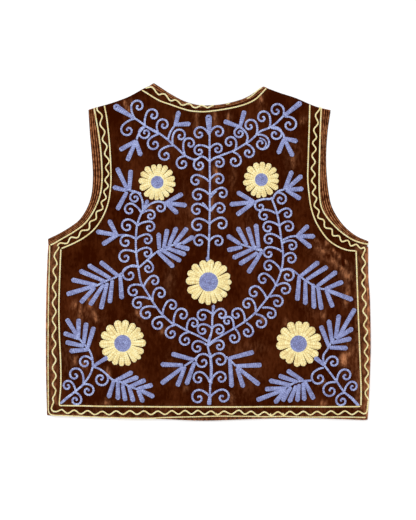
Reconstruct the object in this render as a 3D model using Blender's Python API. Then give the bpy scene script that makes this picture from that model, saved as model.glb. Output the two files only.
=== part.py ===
"""Embroidered velvet waistcoat, laid flat on its two fronts with the back panel uppermost.

Metres, +Z up: +X is the viewer's right, +Y points to the neck, and the fronts' underside is z = 0.
The outline's tables run from left to right, from the hem upwards, or as their headings say.
"""

import bpy
import numpy as np

# Cloth
WALL = 0.0020  # velvet with its backing
SEAM_GAP = 0.0003  # between neighbouring pieces
LIFT = WALL + SEAM_GAP  # the back's underside over the fronts
SUNK = 0.0005  # the back's underside where no front lies under it
TURN_RUN = 0.0045  # the back turns down over this run at its seams
NECK_HOLD = 0.0140  # past the fronts' neck edge the back holds its height this far,
NECK_SINK = 0.0220  # and then sinks over this run
SWELL_HEIGHT = 0.0024  # air between the layers, towards the middle
SWELL_RUN = 0.055

# The back's outline
HEM = (
    # x, y
    (-0.2335, -0.2360), (-0.1860, -0.2375), (-0.1280, -0.2395), (-0.0650, -0.2415),
    (-0.0065, -0.2438), (0.0600, -0.2415), (0.1325, -0.2400), (0.1900, -0.2415), (0.2275, -0.2430),
)
SIDE_LEFT = (
    # x, y
    (-0.2335, -0.2360), (-0.2350, -0.1710), (-0.2350, -0.0840), (-0.2330, -0.0145), (-0.2315, 0.0105),
)
SIDE_RIGHT = (
    # x, y
    (0.2275, -0.2430), (0.2290, -0.1710), (0.2290, -0.1130), (0.2280, -0.0550), (0.2290, 0.0080),
)
SHOULDER_LEFT = (
    # x, y, from the neck outwards
    (-0.0855, 0.2400), (-0.0935, 0.2365), (-0.1165, 0.2240), (-0.1395, 0.2155), (-0.1625, 0.2090),
)
SHOULDER_RIGHT = (
    # x, y, from the neck outwards
    (0.0860, 0.2365), (0.1035, 0.2300), (0.1265, 0.2225), (0.1495, 0.2125), (0.1625, 0.2080),
)
ARMHOLE_LEFT = (
    # edge x, edge y, seam x, seam y: the ribbed band lies between edge and seam
    (-0.2320, 0.0185, -0.2315, 0.0105),
    (-0.2175, 0.0255, -0.2130, 0.0177),
    (-0.2005, 0.0355, -0.1945, 0.0290),
    (-0.1865, 0.0465, -0.1785, 0.0410),
    (-0.1755, 0.0635, -0.1640, 0.0590),
    (-0.1690, 0.0835, -0.1555, 0.0825),
    (-0.1670, 0.1100, -0.1525, 0.1085),
    (-0.1685, 0.1385, -0.1540, 0.1385),
    (-0.1715, 0.1735, -0.1585, 0.1750),
    (-0.1735, 0.2055, -0.1625, 0.2090),
)
ARMHOLE_RIGHT = (
    # edge x, edge y, seam x, seam y
    (0.2315, 0.0150, 0.2290, 0.0080),
    (0.2145, 0.0225, 0.2105, 0.0150),
    (0.1990, 0.0345, 0.1930, 0.0260),
    (0.1875, 0.0485, 0.1785, 0.0395),
    (0.1785, 0.0650, 0.1675, 0.0570),
    (0.1740, 0.0835, 0.1615, 0.0790),
    (0.1710, 0.1100, 0.1600, 0.1070),
    (0.1700, 0.1385, 0.1605, 0.1385),
    (0.1720, 0.1735, 0.1620, 0.1750),
    (0.1765, 0.2050, 0.1625, 0.2080),
)
NECK = (
    # edge x, edge y, seam x, seam y
    (-0.0790, 0.2438, -0.0855, 0.2400),
    (-0.0685, 0.2370, -0.0730, 0.2320),
    (-0.0555, 0.2285, -0.0585, 0.2240),
    (-0.0355, 0.2180, -0.0375, 0.2138),
    (-0.0150, 0.2122, -0.0160, 0.2080),
    (0.0020, 0.2118, 0.0020, 0.2076),
    (0.0225, 0.2138, 0.0240, 0.2096),
    (0.0455, 0.2195, 0.0470, 0.2153),
    (0.0600, 0.2260, 0.0625, 0.2220),
    (0.0715, 0.2337, 0.0750, 0.2297),
    (0.0795, 0.2390, 0.0860, 0.2365),
)

# The fronts, which only follow the back's cut
FRONT_SIDE_MOVE = {-1: 0.0070, 1: 0.0025}  # along +x from the back's side edge, left and right
FRONT_HEM_IN = 0.0015
FRONT_SHIFT_X = 0.0060  # the fronts' armholes are cut deeper by these two amounts
FRONT_SHIFT_Y = 0.0070
FRONT_BAND_MOVE = (0.0075, 0.0070)  # the hidden band's seam lies this far in and down from its edge
FRONT_BAND_END = 0.0095  # its length along the side seam
CENTRE_HALF_GAP = 0.0006  # the two fronts meet at the centre
FRONT_NECK = (
    # distance from the centre, y: the open neck of the fronts, from the shoulder down
    (0.0820, 0.2270), (0.0730, 0.1900), (0.0470, 0.1420), (CENTRE_HALF_GAP, 0.0980),
)

# The right front turns up at its side seam and shows as a roll beside the back
ROLL_EDGE = (
    # x, y
    (0.2305, -0.2425), (0.2335, -0.1850), (0.2350, -0.1330), (0.2338, -0.0695), (0.2315, -0.0350),
    (0.2312, 0.0080),
)
ROLL_HEIGHT = 0.0046
ROLL_BASE = 0.0002  # clear of the surface it rests on
ROLL_SECTION = (
    # share of the width, share of the height
    (0, 0), (0, 0.86), (0.22, 0.97), (0.55, 1.0), (0.85, 0.82), (1.0, 0.5), (0.93, 0.16),
)

# Ribbed bands
RIB_HEIGHT = 0.0006
ARMHOLE_RIBS = 4
NECK_RIBS = 2

# Largest folds of the back
FOLDS = (
    # x, y, direction in degrees from +x, length, width, rise
    (-0.1180, 0.2030, -62, 0.056, 0.0065, 0.0022),
    (-0.0180, 0.1850, 88, 0.074, 0.0060, 0.0019),
    (0.0070, 0.1880, 92, 0.062, 0.0062, 0.0016),
    (0.0290, 0.1850, 84, 0.078, 0.0065, 0.0020),
    (0.0780, 0.2050, 108, 0.064, 0.0072, 0.0019),
    (-0.0620, 0.1500, 64, 0.090, 0.0100, 0.0015),
    (0.1180, 0.1350, 97, 0.110, 0.0110, 0.0016),
    (-0.1280, 0.1180, 84, 0.100, 0.0100, 0.0015),
    (0.1720, -0.0120, -38, 0.095, 0.0125, 0.0032),
    (0.2000, -0.0400, 75, 0.085, 0.0105, 0.0025),
    (-0.1990, -0.0080, 28, 0.075, 0.0110, 0.0026),
    (-0.1780, -0.0880, 74, 0.115, 0.0145, 0.0030),
    (-0.2020, -0.1560, 98, 0.085, 0.0115, 0.0025),
    (-0.0980, -0.0850, 70, 0.110, 0.0125, 0.0019),
    (-0.0320, 0.0500, 96, 0.120, 0.0140, 0.0014),
    (0.0560, 0.0300, 80, 0.130, 0.0140, 0.0015),
    (0.2020, -0.1500, 86, 0.130, 0.0125, 0.0033),
    (0.1500, -0.0750, 100, 0.095, 0.0135, 0.0020),
    (0.0620, -0.1850, 60, 0.090, 0.0125, 0.0019),
    (-0.0450, -0.1700, 118, 0.090, 0.0125, 0.0017),
    (-0.1520, -0.2240, 12, 0.064, 0.0092, 0.0022),
    (-0.0650, -0.2290, 6, 0.076, 0.0084, 0.0017),
    (0.0450, -0.2290, -5, 0.082, 0.0088, 0.0019),
    (0.1600, -0.2280, 8, 0.074, 0.0088, 0.0021),
)

# Fineness of the meshes
SIDE_ROWS = 20
ARMHOLE_ROWS = 22
SHOULDER_COLUMNS = 10
NECK_COLUMNS = 16
FRONT_ROWS = 8
FRONT_COLUMNS = 3
OUTLINE_STEPS = 60
FINE_STEPS = 400
FRONT_STRIDE = 6  # the hidden fronts' curves take every sixth point of the outline's
CURVE_STEPS = 24  # between two given points
SHARP_ANGLE = np.radians(40)

VELVET = (0.045, 0.011, 0.003, 1.0)
BAND_VELVET = (0.115, 0.034, 0.012, 1.0)


def curve_through(points, shares):
    """Points at the given shares of the length of the smooth curve through the given points."""
    p = np.asarray(points, float)
    ends = (2 * p[0] - p[1], 2 * p[-1] - p[-2])
    q = np.vstack((ends[0], p, ends[1]))
    t = np.linspace(0, 1, CURVE_STEPS, endpoint=False)[:, None]
    runs = []
    for a, b, c, d in zip(q, q[1:], q[2:], q[3:]):
        bend = 2 * a - 5 * b + 4 * c - d
        turn = 3 * (b - c) + d - a
        runs.append(b + 0.5 * t * ((c - a) + t * (bend + t * turn)))
    fine = np.vstack((*runs, p[-1:]))
    along = np.insert(np.cumsum(np.linalg.norm(np.diff(fine, axis=0), axis=1)), 0, 0)
    at = along[-1] * np.asarray(shares)
    return np.column_stack([np.interp(at, along, fine[:, k]) for k in range(fine.shape[1])])


def even(count):
    """Shares of a curve that cut it into equal lengths."""
    return np.linspace(0, 1, count + 1)


def even_then_turn(points, count):
    """Equal shares, and one more where the cloth starts to turn down before the curve's end."""
    length = np.linalg.norm(np.diff(np.asarray(points), axis=0), axis=1).sum()
    return np.append(np.linspace(0, 1 - TURN_RUN / length, count), 1)


def soft_step(x):
    """0 up to x = 0, 1 from x = 1, and smooth between them."""
    x = np.clip(x, 0, 1)
    return x * x * (3 - 2 * x)


def distance_to(xy, line):
    """Distance of each point to the nearest stretch of a line of points."""
    p = xy.reshape(-1, 1, 2)
    a = line[None, :-1]
    run = line[None, 1:] - a
    share = np.clip(((p - a) * run).sum(2) / (run * run).sum(2), 0, 1)
    near = np.linalg.norm(a + share[..., None] * run - p, axis=2).min(1)
    return near.reshape(xy.shape[:-1])


def depth_inside(xy, outline):
    """Distance to a closed outline, positive inside it and negative outside it."""
    closed = np.vstack((outline, outline[:1]))
    p = xy.reshape(-1, 1, 2)
    a, b = closed[None, :-1], closed[None, 1:]
    over = (a[..., 1] > p[..., 1]) != (b[..., 1] > p[..., 1])
    rise = np.where(over, b[..., 1] - a[..., 1], 1.0)
    crossing = a[..., 0] + (p[..., 1] - a[..., 1]) / rise * (b[..., 0] - a[..., 0])
    inside = ((over & (p[..., 0] < crossing)).sum(1) % 2) == 1
    return np.where(inside.reshape(xy.shape[:-1]), 1, -1) * distance_to(xy, closed)


def patch(left, right, bottom, top):
    """Grid of points between four edges that share their corners, rows from bottom to top.

    A row runs straight from the left edge to the right one, bowed like the bottom edge low down and
    like the top edge high up.
    """
    v = np.linspace(0, 1, len(left))[:, None, None]
    u = ((bottom[:, 0] - bottom[0, 0]) / (bottom[-1, 0] - bottom[0, 0]))[None, :, None]
    across = (1 - u) * left[:, None] + u * right[:, None]
    bottom_bow = bottom[None] - ((1 - u) * bottom[0] + u * bottom[-1])
    top_bow = top[None] - ((1 - u) * top[0] + u * top[-1])
    reach = v**3
    return across + (1 - reach) * bottom_bow + reach * top_bow


def edge_at(points, x):
    """The points of an edge above the given x, the edge running from left to right."""
    fine = curve_through(points, even(FINE_STEPS))
    return np.column_stack((x, np.interp(x, fine[:, 0], fine[:, 1])))


def moved(points, dx, dy):
    """Points shifted by one vector."""
    return np.asarray(points, float) + (dx, dy)


def outer_edge(table):
    """A band's outer edge, which is the waistcoat's outline."""
    return [row[:2] for row in table]


def seam_line(table):
    """Where a ribbed band meets the panel."""
    return [row[2:] for row in table]


def front_curves(side):
    """The named edges of one front: side is -1 for the left and 1 for the right."""
    table = ARMHOLE_LEFT if side < 0 else ARMHOLE_RIGHT
    shift = (-side * FRONT_SHIFT_X, -FRONT_SHIFT_Y)
    armhole = curve_through(moved(seam_line(table), *shift), even(OUTLINE_STEPS))
    seam_side = curve_through(SIDE_LEFT if side < 0 else SIDE_RIGHT, even(OUTLINE_STEPS))
    side_edge = moved(seam_side, FRONT_SIDE_MOVE[side], 0)
    side_edge = side_edge[side_edge[:, 1] < armhole[0, 1] - SEAM_GAP]
    side_edge[0, 1] += FRONT_HEM_IN
    side_edge = np.vstack((side_edge, armhole[:1]))
    neck = curve_through([(side * x, y) for x, y in FRONT_NECK], even(OUTLINE_STEPS))
    return side_edge, armhole, neck


def fronts_outline():
    """The outline that the two fronts cover together, anticlockwise."""
    side_left, armhole_left, neck_left = front_curves(-1)
    side_right, armhole_right, neck_right = front_curves(1)
    hem_x = np.linspace(side_left[0, 0], side_right[0, 0], OUTLINE_STEPS)
    hem = moved(edge_at(HEM, hem_x), 0, FRONT_HEM_IN)
    outline = np.vstack(
        (hem, side_right, armhole_right, neck_right, neck_left[::-1], armhole_left[::-1], side_left[::-1])
    )
    step = np.linalg.norm(outline - np.roll(outline, 1, axis=0), axis=1)
    return outline[step > SEAM_GAP]


def fold_height(xy):
    """Sum of the folds: each is a soft ridge that fades towards its two ends."""
    x, y = xy[..., 0], xy[..., 1]
    height = np.zeros_like(x)
    for fold_x, fold_y, degrees, length, width, rise in FOLDS:
        along_x, along_y = np.cos(np.radians(degrees)), np.sin(np.radians(degrees))
        along = ((x - fold_x) * along_x + (y - fold_y) * along_y) / (length / 2)
        across = ((y - fold_y) * along_x - (x - fold_x) * along_y) / width
        height += rise * np.exp(-(across**2)) * soft_step(1 - np.abs(along))
    return height


def turned_seams():
    """The seams where the back turns down: left side, both armholes and both shoulders."""
    steps = even(OUTLINE_STEPS)
    left = [curve_through(t, steps) for t in (SIDE_LEFT, seam_line(ARMHOLE_LEFT), SHOULDER_LEFT[::-1])]
    right = [curve_through(t, steps) for t in (seam_line(ARMHOLE_RIGHT), SHOULDER_RIGHT[::-1])]
    return np.vstack((left[0], left[1][1:], left[2][1:])), np.vstack((right[0], right[1][1:]))


def lying_height(xy):
    """Height of the back's underside: on the fronts, and sunk past their neck and at its seams."""
    seams = np.minimum(*[distance_to(xy, line) for line in turned_seams()])
    neck = np.vstack((front_curves(-1)[2], front_curves(1)[2][::-1]))
    past_neck = depth_inside(xy, neck)
    sunk = np.maximum(soft_step(1 - seams / TURN_RUN), soft_step((past_neck - NECK_HOLD) / NECK_SINK))
    swell = SWELL_HEIGHT * soft_step(depth_inside(xy, fronts_outline()) / SWELL_RUN)
    return LIFT - (LIFT - SUNK) * sunk + swell


def grid_faces(rows, columns, start=0, flip=False):
    """Quads of a grid of points stored row by row."""
    faces = []
    for r in range(rows - 1):
        for c in range(columns - 1):
            a = start + r * columns + c
            quad = (a, a + 1, a + columns + 1, a + columns)
            faces.append(quad[::-1] if flip else quad)
    return faces


def new_object(name, verts, faces, material, collection):
    """A mesh object in the waistcoat's collection."""
    mesh = bpy.data.meshes.new(name)
    mesh.from_pydata([tuple(float(n) for n in v) for v in verts], [], faces)
    mesh.materials.append(material)
    mesh.shade_smooth()
    mesh.set_sharp_from_angle(angle=SHARP_ANGLE)
    obj = bpy.data.objects.new(name, mesh)
    collection.objects.link(obj)
    return obj


def double_wall(name, top, bottom, material, collection):
    """A closed body between two grids of points, one over the other."""
    rows, columns = top.shape[:2]
    count = rows * columns
    rim = [r * columns for r in range(rows)][::-1]
    rim += list(range(1, columns))
    rim += [r * columns + columns - 1 for r in range(1, rows)]
    rim += [(rows - 1) * columns + c for c in range(columns - 2, 0, -1)]
    faces = grid_faces(rows, columns) + grid_faces(rows, columns, count, flip=True)
    for a, b in zip(rim, rim[1:] + rim[:1]):
        faces.append((a, a + count, b + count, b))
    verts = np.vstack((top.reshape(-1, 3), bottom.reshape(-1, 3)))
    return new_object(name, verts, faces, material, collection)


def with_height(xy, z):
    """Grid of points in plan with their heights."""
    return np.concatenate((xy, np.broadcast_to(z, xy.shape[:2])[..., None]), axis=2)


def build_back(material, collection):
    """The back panel: one wall that lies on the fronts, its rims upright so that seams stay even."""
    sides = []
    for side, table in ((SIDE_LEFT, ARMHOLE_LEFT), (SIDE_RIGHT, ARMHOLE_RIGHT)):
        armhole = curve_through(seam_line(table), even_then_turn(seam_line(table), ARMHOLE_ROWS))
        sides.append(np.vstack((curve_through(side, even_then_turn(side, SIDE_ROWS)), armhole[1:])))
    left, right = sides
    shoulders = []
    for line in (SHOULDER_LEFT, SHOULDER_RIGHT):
        shoulders.append(curve_through(line, even_then_turn(line, SHOULDER_COLUMNS)))
    neck = curve_through(seam_line(NECK), even(NECK_COLUMNS))
    top = np.vstack((shoulders[0][::-1], neck[1:-1], shoulders[1]))
    share = (top[:, 0] - top[0, 0]) / (top[-1, 0] - top[0, 0])
    bottom = edge_at(HEM, left[0, 0] + share * (right[0, 0] - left[0, 0]))
    plan = patch(left, right, bottom, top)
    under = lying_height(plan) + fold_height(plan)
    double_wall("back", with_height(plan, under + WALL), with_height(plan, under), material, collection)


def ribbed_band(name, table, shares, ribs, sunk, shade, collection):
    """A velvet strip between an edge and its seam, with stitched ribs raised along it."""
    edge = curve_through(outer_edge(table), shares)
    seam = curve_through(seam_line(table), shares)
    across = seam - edge
    seam = seam - across / np.linalg.norm(across, axis=1)[:, None] * SEAM_GAP
    share = np.linspace(0, 1, 2 * ribs + 1)[None, :, None]
    plan = edge[:, None] * (1 - share) + seam[:, None] * share
    under = (SUNK if sunk else lying_height(plan)) + fold_height(plan)
    rib = RIB_HEIGHT * (np.arange(2 * ribs + 1) % 2)[None]
    top, bottom = with_height(plan, under + WALL + rib), with_height(plan, under)
    run = edge[1] - edge[0]
    if run[0] * across[0, 1] > run[1] * across[0, 0]:  # the seam lies to the left of the band's run
        top, bottom = top[:, ::-1], bottom[:, ::-1]
    double_wall(name, top, bottom, shade, collection)


def build_front(side, name, material, collection):
    """One front: a flat panel, from its side and armhole to the centre edge and the open neck."""
    side_edge, armhole, neck = front_curves(side)
    seam = moved(armhole[::FRONT_STRIDE], -side * FRONT_BAND_MOVE[0], -FRONT_BAND_MOVE[1])
    seam[0] = armhole[0] - (0, FRONT_BAND_END)
    seam = curve_through(seam, even(ARMHOLE_ROWS))
    below = side_edge[side_edge[:, 1] < seam[0, 1] - FRONT_BAND_END]
    outer_side = curve_through(np.vstack((below[::FRONT_STRIDE], seam[:1])), even(FRONT_ROWS))
    outer = np.vstack((outer_side, seam[1:]))
    foot = edge_at(HEM, np.array([side * CENTRE_HALF_GAP])) + (0, FRONT_HEM_IN)
    path = np.vstack((foot, neck[::-1]))
    rise = (path[-1, 1] - path[0, 1]) / (outer[-1, 1] - outer[0, 1])
    level = path[0, 1] + (outer[:, 1] - outer[0, 1]) * rise
    inner = np.column_stack((np.interp(level, path[:, 1], path[:, 0]), level))
    left, right = (outer, inner) if side < 0 else (inner, outer)
    u = even(FRONT_COLUMNS)[:, None]
    top = left[-1] * (1 - u) + right[-1] * u
    bottom = moved(edge_at(HEM, (left[0, 0] * (1 - u) + right[0, 0] * u)[:, 0]), 0, FRONT_HEM_IN)
    bottom[0], bottom[-1] = left[0], right[0]
    plan = patch(left, right, bottom, top)
    front = double_wall(name, with_height(plan, WALL), with_height(plan, 0.0), material, collection)
    return front, armhole, seam


def build_front_band(name, armhole, seam, side, shade, collection):
    """The hidden stretch of the armhole band, plain and flat."""
    edge = curve_through(armhole[::FRONT_STRIDE], even(ARMHOLE_ROWS))
    across = seam - edge
    inner = seam - across / np.linalg.norm(across, axis=1)[:, None] * SEAM_GAP
    pair = (edge, inner) if side < 0 else (inner, edge)
    plan = np.stack(pair, axis=1)
    double_wall(name, with_height(plan, WALL), with_height(plan, 0.0), shade, collection)


def join_roll(front, material, collection, cutters):
    """Joins the side seam's roll to the right front: a bead whose section is a rounded block."""
    inner = moved(curve_through(SIDE_RIGHT, even_then_turn(SIDE_RIGHT, SIDE_ROWS)), SEAM_GAP, 0)
    inner[-1, 1] -= SEAM_GAP
    outer_x = np.interp(inner[:, 1], *curve_through(ROLL_EDGE, even(FINE_STEPS)).T[::-1])
    section = np.array(ROLL_SECTION)
    x = inner[:, :1] + (outer_x[:, None] - inner[:, :1]) * section[None, :, 0]
    z = ROLL_BASE + (ROLL_HEIGHT - ROLL_BASE) * np.broadcast_to(section[None, :, 1], x.shape)
    y = np.broadcast_to(inner[:, 1:], x.shape)
    points = np.stack((x, y, z), axis=2)
    rows, columns = x.shape
    faces = []
    for r in range(rows - 1):
        for c in range(columns):
            d = (c + 1) % columns
            faces.append((r * columns + c, r * columns + d, (r + 1) * columns + d, (r + 1) * columns + c))
    faces.append(tuple(range(columns))[::-1])
    faces.append(tuple((rows - 1) * columns + c for c in range(columns)))
    roll = new_object("side_roll", points.reshape(-1, 3), faces, material, cutters)
    roll.hide_render = True
    roll.display_type = "WIRE"
    join = front.modifiers.new("roll", "BOOLEAN")
    join.operation = "UNION"
    join.solver = "EXACT"
    join.object = roll


def velvet(name, colour, roughness):
    """A plain cloth material."""
    material = bpy.data.materials.new(name)
    material.use_nodes = True
    shader = material.node_tree.nodes["Principled BSDF"]
    shader.inputs["Base Color"].default_value = colour
    shader.inputs["Roughness"].default_value = roughness
    shader.inputs["Metallic"].default_value = 0.0
    return material


def main():
    """Builds every piece of the waistcoat."""
    for obj in list(bpy.data.objects):
        bpy.data.objects.remove(obj)
    parts = bpy.data.collections.new("embroidered_waistcoat")
    cutters = bpy.data.collections.new("cutters")
    for collection in (parts, cutters):
        bpy.context.scene.collection.children.link(collection)
    pile = velvet("brown_velvet", VELVET, 0.85)
    band = velvet("band_velvet", BAND_VELVET, 0.8)
    build_back(pile, parts)
    for word, table in (("left", ARMHOLE_LEFT), ("right", ARMHOLE_RIGHT)):
        shares = even_then_turn(seam_line(table), ARMHOLE_ROWS)
        ribbed_band(f"armhole_band_{word}", table, shares, ARMHOLE_RIBS, True, band, parts)
    ribbed_band("neck_band", NECK, even(NECK_COLUMNS), NECK_RIBS, False, band, parts)
    for side, word in ((-1, "left"), (1, "right")):
        front, armhole, seam = build_front(side, f"front_{word}", pile, parts)
        build_front_band(f"front_armhole_band_{word}", armhole, seam, side, band, parts)
        if side > 0:
            join_roll(front, pile, parts, cutters)


main()
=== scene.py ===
"""Dresses the embroidered velvet waistcoat, which lies flat on its fronts with its back uppermost.

Metres, as in the frame: +X is the viewer's right, +Y points to the neck, +Z is up, and the floor is z = 0.
"""

import logging
from collections.abc import Sequence
from dataclasses import dataclass, field
from enum import Enum

import bpy
import numpy as np
from numpy.typing import NDArray
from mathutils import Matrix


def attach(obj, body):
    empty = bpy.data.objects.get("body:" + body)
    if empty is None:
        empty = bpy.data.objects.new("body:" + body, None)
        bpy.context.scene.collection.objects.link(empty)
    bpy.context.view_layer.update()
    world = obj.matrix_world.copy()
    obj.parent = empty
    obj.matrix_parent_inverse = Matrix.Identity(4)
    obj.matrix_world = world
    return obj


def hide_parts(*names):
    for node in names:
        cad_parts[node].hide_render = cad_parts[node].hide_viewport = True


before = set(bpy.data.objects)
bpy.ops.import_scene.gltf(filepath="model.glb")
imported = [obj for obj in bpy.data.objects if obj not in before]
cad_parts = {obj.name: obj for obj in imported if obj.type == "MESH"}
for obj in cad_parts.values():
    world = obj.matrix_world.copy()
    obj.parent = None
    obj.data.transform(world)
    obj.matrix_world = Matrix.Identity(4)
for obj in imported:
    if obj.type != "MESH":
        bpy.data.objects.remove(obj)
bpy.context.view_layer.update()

Array = NDArray[np.float64]
Table = Sequence[Sequence[float]]

log = logging.getLogger("waistcoat")

# Cloth, the same sizes as the solids have
WALL = 0.0020
RIM_OUT = 0.25
RIM_IN = 0.2
SEAM_GAP = 0.0003
LIFT = WALL + SEAM_GAP
SUNK = 0.0005
TURN_RUN = 0.0045
NECK_HOLD = 0.0140
NECK_SINK = 0.0220
SWELL_HEIGHT = 0.0024
SWELL_RUN = 0.055

HEM = (
    # x, y
    (-0.2335, -0.2360), (-0.1860, -0.2375), (-0.1280, -0.2395), (-0.0650, -0.2415),
    (-0.0065, -0.2438), (0.0600, -0.2415), (0.1325, -0.2400), (0.1900, -0.2415), (0.2275, -0.2430),
)
SIDE_LEFT = (
    # x, y
    (-0.2335, -0.2360), (-0.2350, -0.1710), (-0.2350, -0.0840), (-0.2330, -0.0145), (-0.2315, 0.0105),
)
SIDE_RIGHT = (
    # x, y
    (0.2275, -0.2430), (0.2290, -0.1710), (0.2290, -0.1130), (0.2280, -0.0550), (0.2290, 0.0080),
)
SHOULDER_LEFT = (
    # x, y, from the neck outwards
    (-0.0855, 0.2400), (-0.0935, 0.2365), (-0.1165, 0.2240), (-0.1395, 0.2155), (-0.1625, 0.2090),
)
SHOULDER_RIGHT = (
    # x, y, from the neck outwards
    (0.0860, 0.2365), (0.1035, 0.2300), (0.1265, 0.2225), (0.1495, 0.2125), (0.1625, 0.2080),
)
ARMHOLE_LEFT = (
    # edge x, edge y, seam x, seam y
    (-0.2320, 0.0185, -0.2315, 0.0105),
    (-0.2175, 0.0255, -0.2130, 0.0177),
    (-0.2005, 0.0355, -0.1945, 0.0290),
    (-0.1865, 0.0465, -0.1785, 0.0410),
    (-0.1755, 0.0635, -0.1640, 0.0590),
    (-0.1690, 0.0835, -0.1555, 0.0825),
    (-0.1670, 0.1100, -0.1525, 0.1085),
    (-0.1685, 0.1385, -0.1540, 0.1385),
    (-0.1715, 0.1735, -0.1585, 0.1750),
    (-0.1735, 0.2055, -0.1625, 0.2090),
)
ARMHOLE_RIGHT = (
    # edge x, edge y, seam x, seam y
    (0.2315, 0.0150, 0.2290, 0.0080),
    (0.2145, 0.0225, 0.2105, 0.0150),
    (0.1990, 0.0345, 0.1930, 0.0260),
    (0.1875, 0.0485, 0.1785, 0.0395),
    (0.1785, 0.0650, 0.1675, 0.0570),
    (0.1740, 0.0835, 0.1615, 0.0790),
    (0.1710, 0.1100, 0.1600, 0.1070),
    (0.1700, 0.1385, 0.1605, 0.1385),
    (0.1720, 0.1735, 0.1620, 0.1750),
    (0.1765, 0.2050, 0.1625, 0.2080),
)
NECK = (
    # edge x, edge y, seam x, seam y
    (-0.0790, 0.2438, -0.0855, 0.2400),
    (-0.0685, 0.2370, -0.0730, 0.2320),
    (-0.0555, 0.2285, -0.0585, 0.2240),
    (-0.0355, 0.2180, -0.0375, 0.2138),
    (-0.0150, 0.2122, -0.0160, 0.2080),
    (0.0020, 0.2118, 0.0020, 0.2076),
    (0.0225, 0.2138, 0.0240, 0.2096),
    (0.0455, 0.2195, 0.0470, 0.2153),
    (0.0600, 0.2260, 0.0625, 0.2220),
    (0.0715, 0.2337, 0.0750, 0.2297),
    (0.0795, 0.2390, 0.0860, 0.2365),
)
FRONT_SIDE_MOVE = {-1: 0.0070, 1: 0.0025}
FRONT_HEM_IN = 0.0015
FRONT_SHIFT_X = 0.0060
FRONT_SHIFT_Y = 0.0070
FRONT_BAND_MOVE = (0.0075, 0.0070)
FRONT_BAND_END = 0.0095
CENTRE_HALF_GAP = 0.0006
FRONT_NECK = (
    # distance from the centre, y
    (0.0820, 0.2270), (0.0730, 0.1900), (0.0470, 0.1420), (CENTRE_HALF_GAP, 0.0980),
)
ROLL_EDGE = (
    # x, y
    (0.2305, -0.2425), (0.2335, -0.1850), (0.2350, -0.1330), (0.2338, -0.0695), (0.2315, -0.0350),
    (0.2312, 0.0080),
)
ROLL_HEIGHT = 0.0046
ROLL_BASE = 0.0002

FOLDS = (
    # x, y, direction in degrees from +x, length, width, rise
    (-0.1180, 0.2030, -62, 0.056, 0.0065, 0.0022),
    (-0.0180, 0.1850, 88, 0.074, 0.0060, 0.0019),
    (0.0070, 0.1880, 92, 0.062, 0.0062, 0.0016),
    (0.0290, 0.1850, 84, 0.078, 0.0065, 0.0020),
    (0.0780, 0.2050, 108, 0.064, 0.0072, 0.0019),
    (-0.0620, 0.1500, 64, 0.090, 0.0100, 0.0015),
    (0.1180, 0.1350, 97, 0.110, 0.0110, 0.0016),
    (-0.1280, 0.1180, 84, 0.100, 0.0100, 0.0015),
    (0.1720, -0.0120, -38, 0.095, 0.0125, 0.0032),
    (0.2000, -0.0400, 75, 0.085, 0.0105, 0.0025),
    (-0.1990, -0.0080, 28, 0.075, 0.0110, 0.0026),
    (-0.1780, -0.0880, 74, 0.115, 0.0145, 0.0030),
    (-0.2020, -0.1560, 98, 0.085, 0.0115, 0.0025),
    (-0.0980, -0.0850, 70, 0.110, 0.0125, 0.0019),
    (-0.0320, 0.0500, 96, 0.120, 0.0140, 0.0014),
    (0.0560, 0.0300, 80, 0.130, 0.0140, 0.0015),
    (0.2020, -0.1500, 86, 0.130, 0.0125, 0.0033),
    (0.1500, -0.0750, 100, 0.095, 0.0135, 0.0020),
    (0.0620, -0.1850, 60, 0.090, 0.0125, 0.0019),
    (-0.0450, -0.1700, 118, 0.090, 0.0125, 0.0017),
    (-0.1520, -0.2240, 12, 0.064, 0.0092, 0.0022),
    (-0.0650, -0.2290, 6, 0.076, 0.0084, 0.0017),
    (0.0450, -0.2290, -5, 0.082, 0.0088, 0.0019),
    (0.1600, -0.2280, 8, 0.074, 0.0088, 0.0021),
)
CREASES = (
    # x, y, direction in degrees from +x, length, width, rise: finer than the folds
    (-0.1160, 0.2090, -66, 0.038, 0.0026, 0.0010),
    (0.0750, 0.2200, 96, 0.030, 0.0028, 0.0008),
    (-0.0175, 0.1990, 90, 0.040, 0.0024, 0.0007),
    (0.0280, 0.1950, 90, 0.044, 0.0026, 0.0008),
    (-0.1740, -0.0870, 62, 0.060, 0.0040, 0.0011),
    (-0.1500, -0.0960, 84, 0.050, 0.0036, 0.0009),
    (-0.1960, -0.1500, 104, 0.046, 0.0040, 0.0009),
    (-0.0960, -0.0850, 76, 0.040, 0.0034, 0.0008),
    (-0.0640, -0.1020, 70, 0.034, 0.0034, 0.0008),
    (0.1750, -0.0050, -34, 0.060, 0.0045, 0.0012),
    (0.1930, -0.0180, -48, 0.050, 0.0040, 0.0010),
    (0.1960, -0.1300, 88, 0.070, 0.0046, 0.0012),
    (0.1230, -0.1560, 92, 0.050, 0.0038, 0.0007),
    (-0.2030, 0.0080, 34, 0.044, 0.0036, 0.0010),
    (0.0350, -0.1700, 86, 0.060, 0.0044, 0.0006),
    (-0.0350, 0.0900, 94, 0.070, 0.0044, 0.0006),
    (-0.1450, -0.1750, 116, 0.050, 0.0036, 0.0007),
    (0.0900, 0.0700, 88, 0.060, 0.0050, 0.0006),
)

# Steps along curves; a curve that is smoothed again keeps every sixth of its points
OUTLINE_STEPS = 60
CURVE_STEPS = 24
FINE_STEPS = 400
EDGE_STEPS = 40
STRAIGHT_STEPS = 8
FINGER_STEPS = 12
FINGER_TIP_STEPS = 13
WAVE_STEP = 0.0006
KEPT_EVERY = 6

# The painted sheen and shade is worked out a part at a time to spare memory, and the least length that is
# divided by
SHEEN_PARTS = 12
TINY = 1e-9

# Patches of the ribs' painted highlight along the strips: three waves in radians per metre, and how far the
# second sways the first
PATCH_WAVES = (310, 83, 131)
PATCH_SWAY = 1.7

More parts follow.
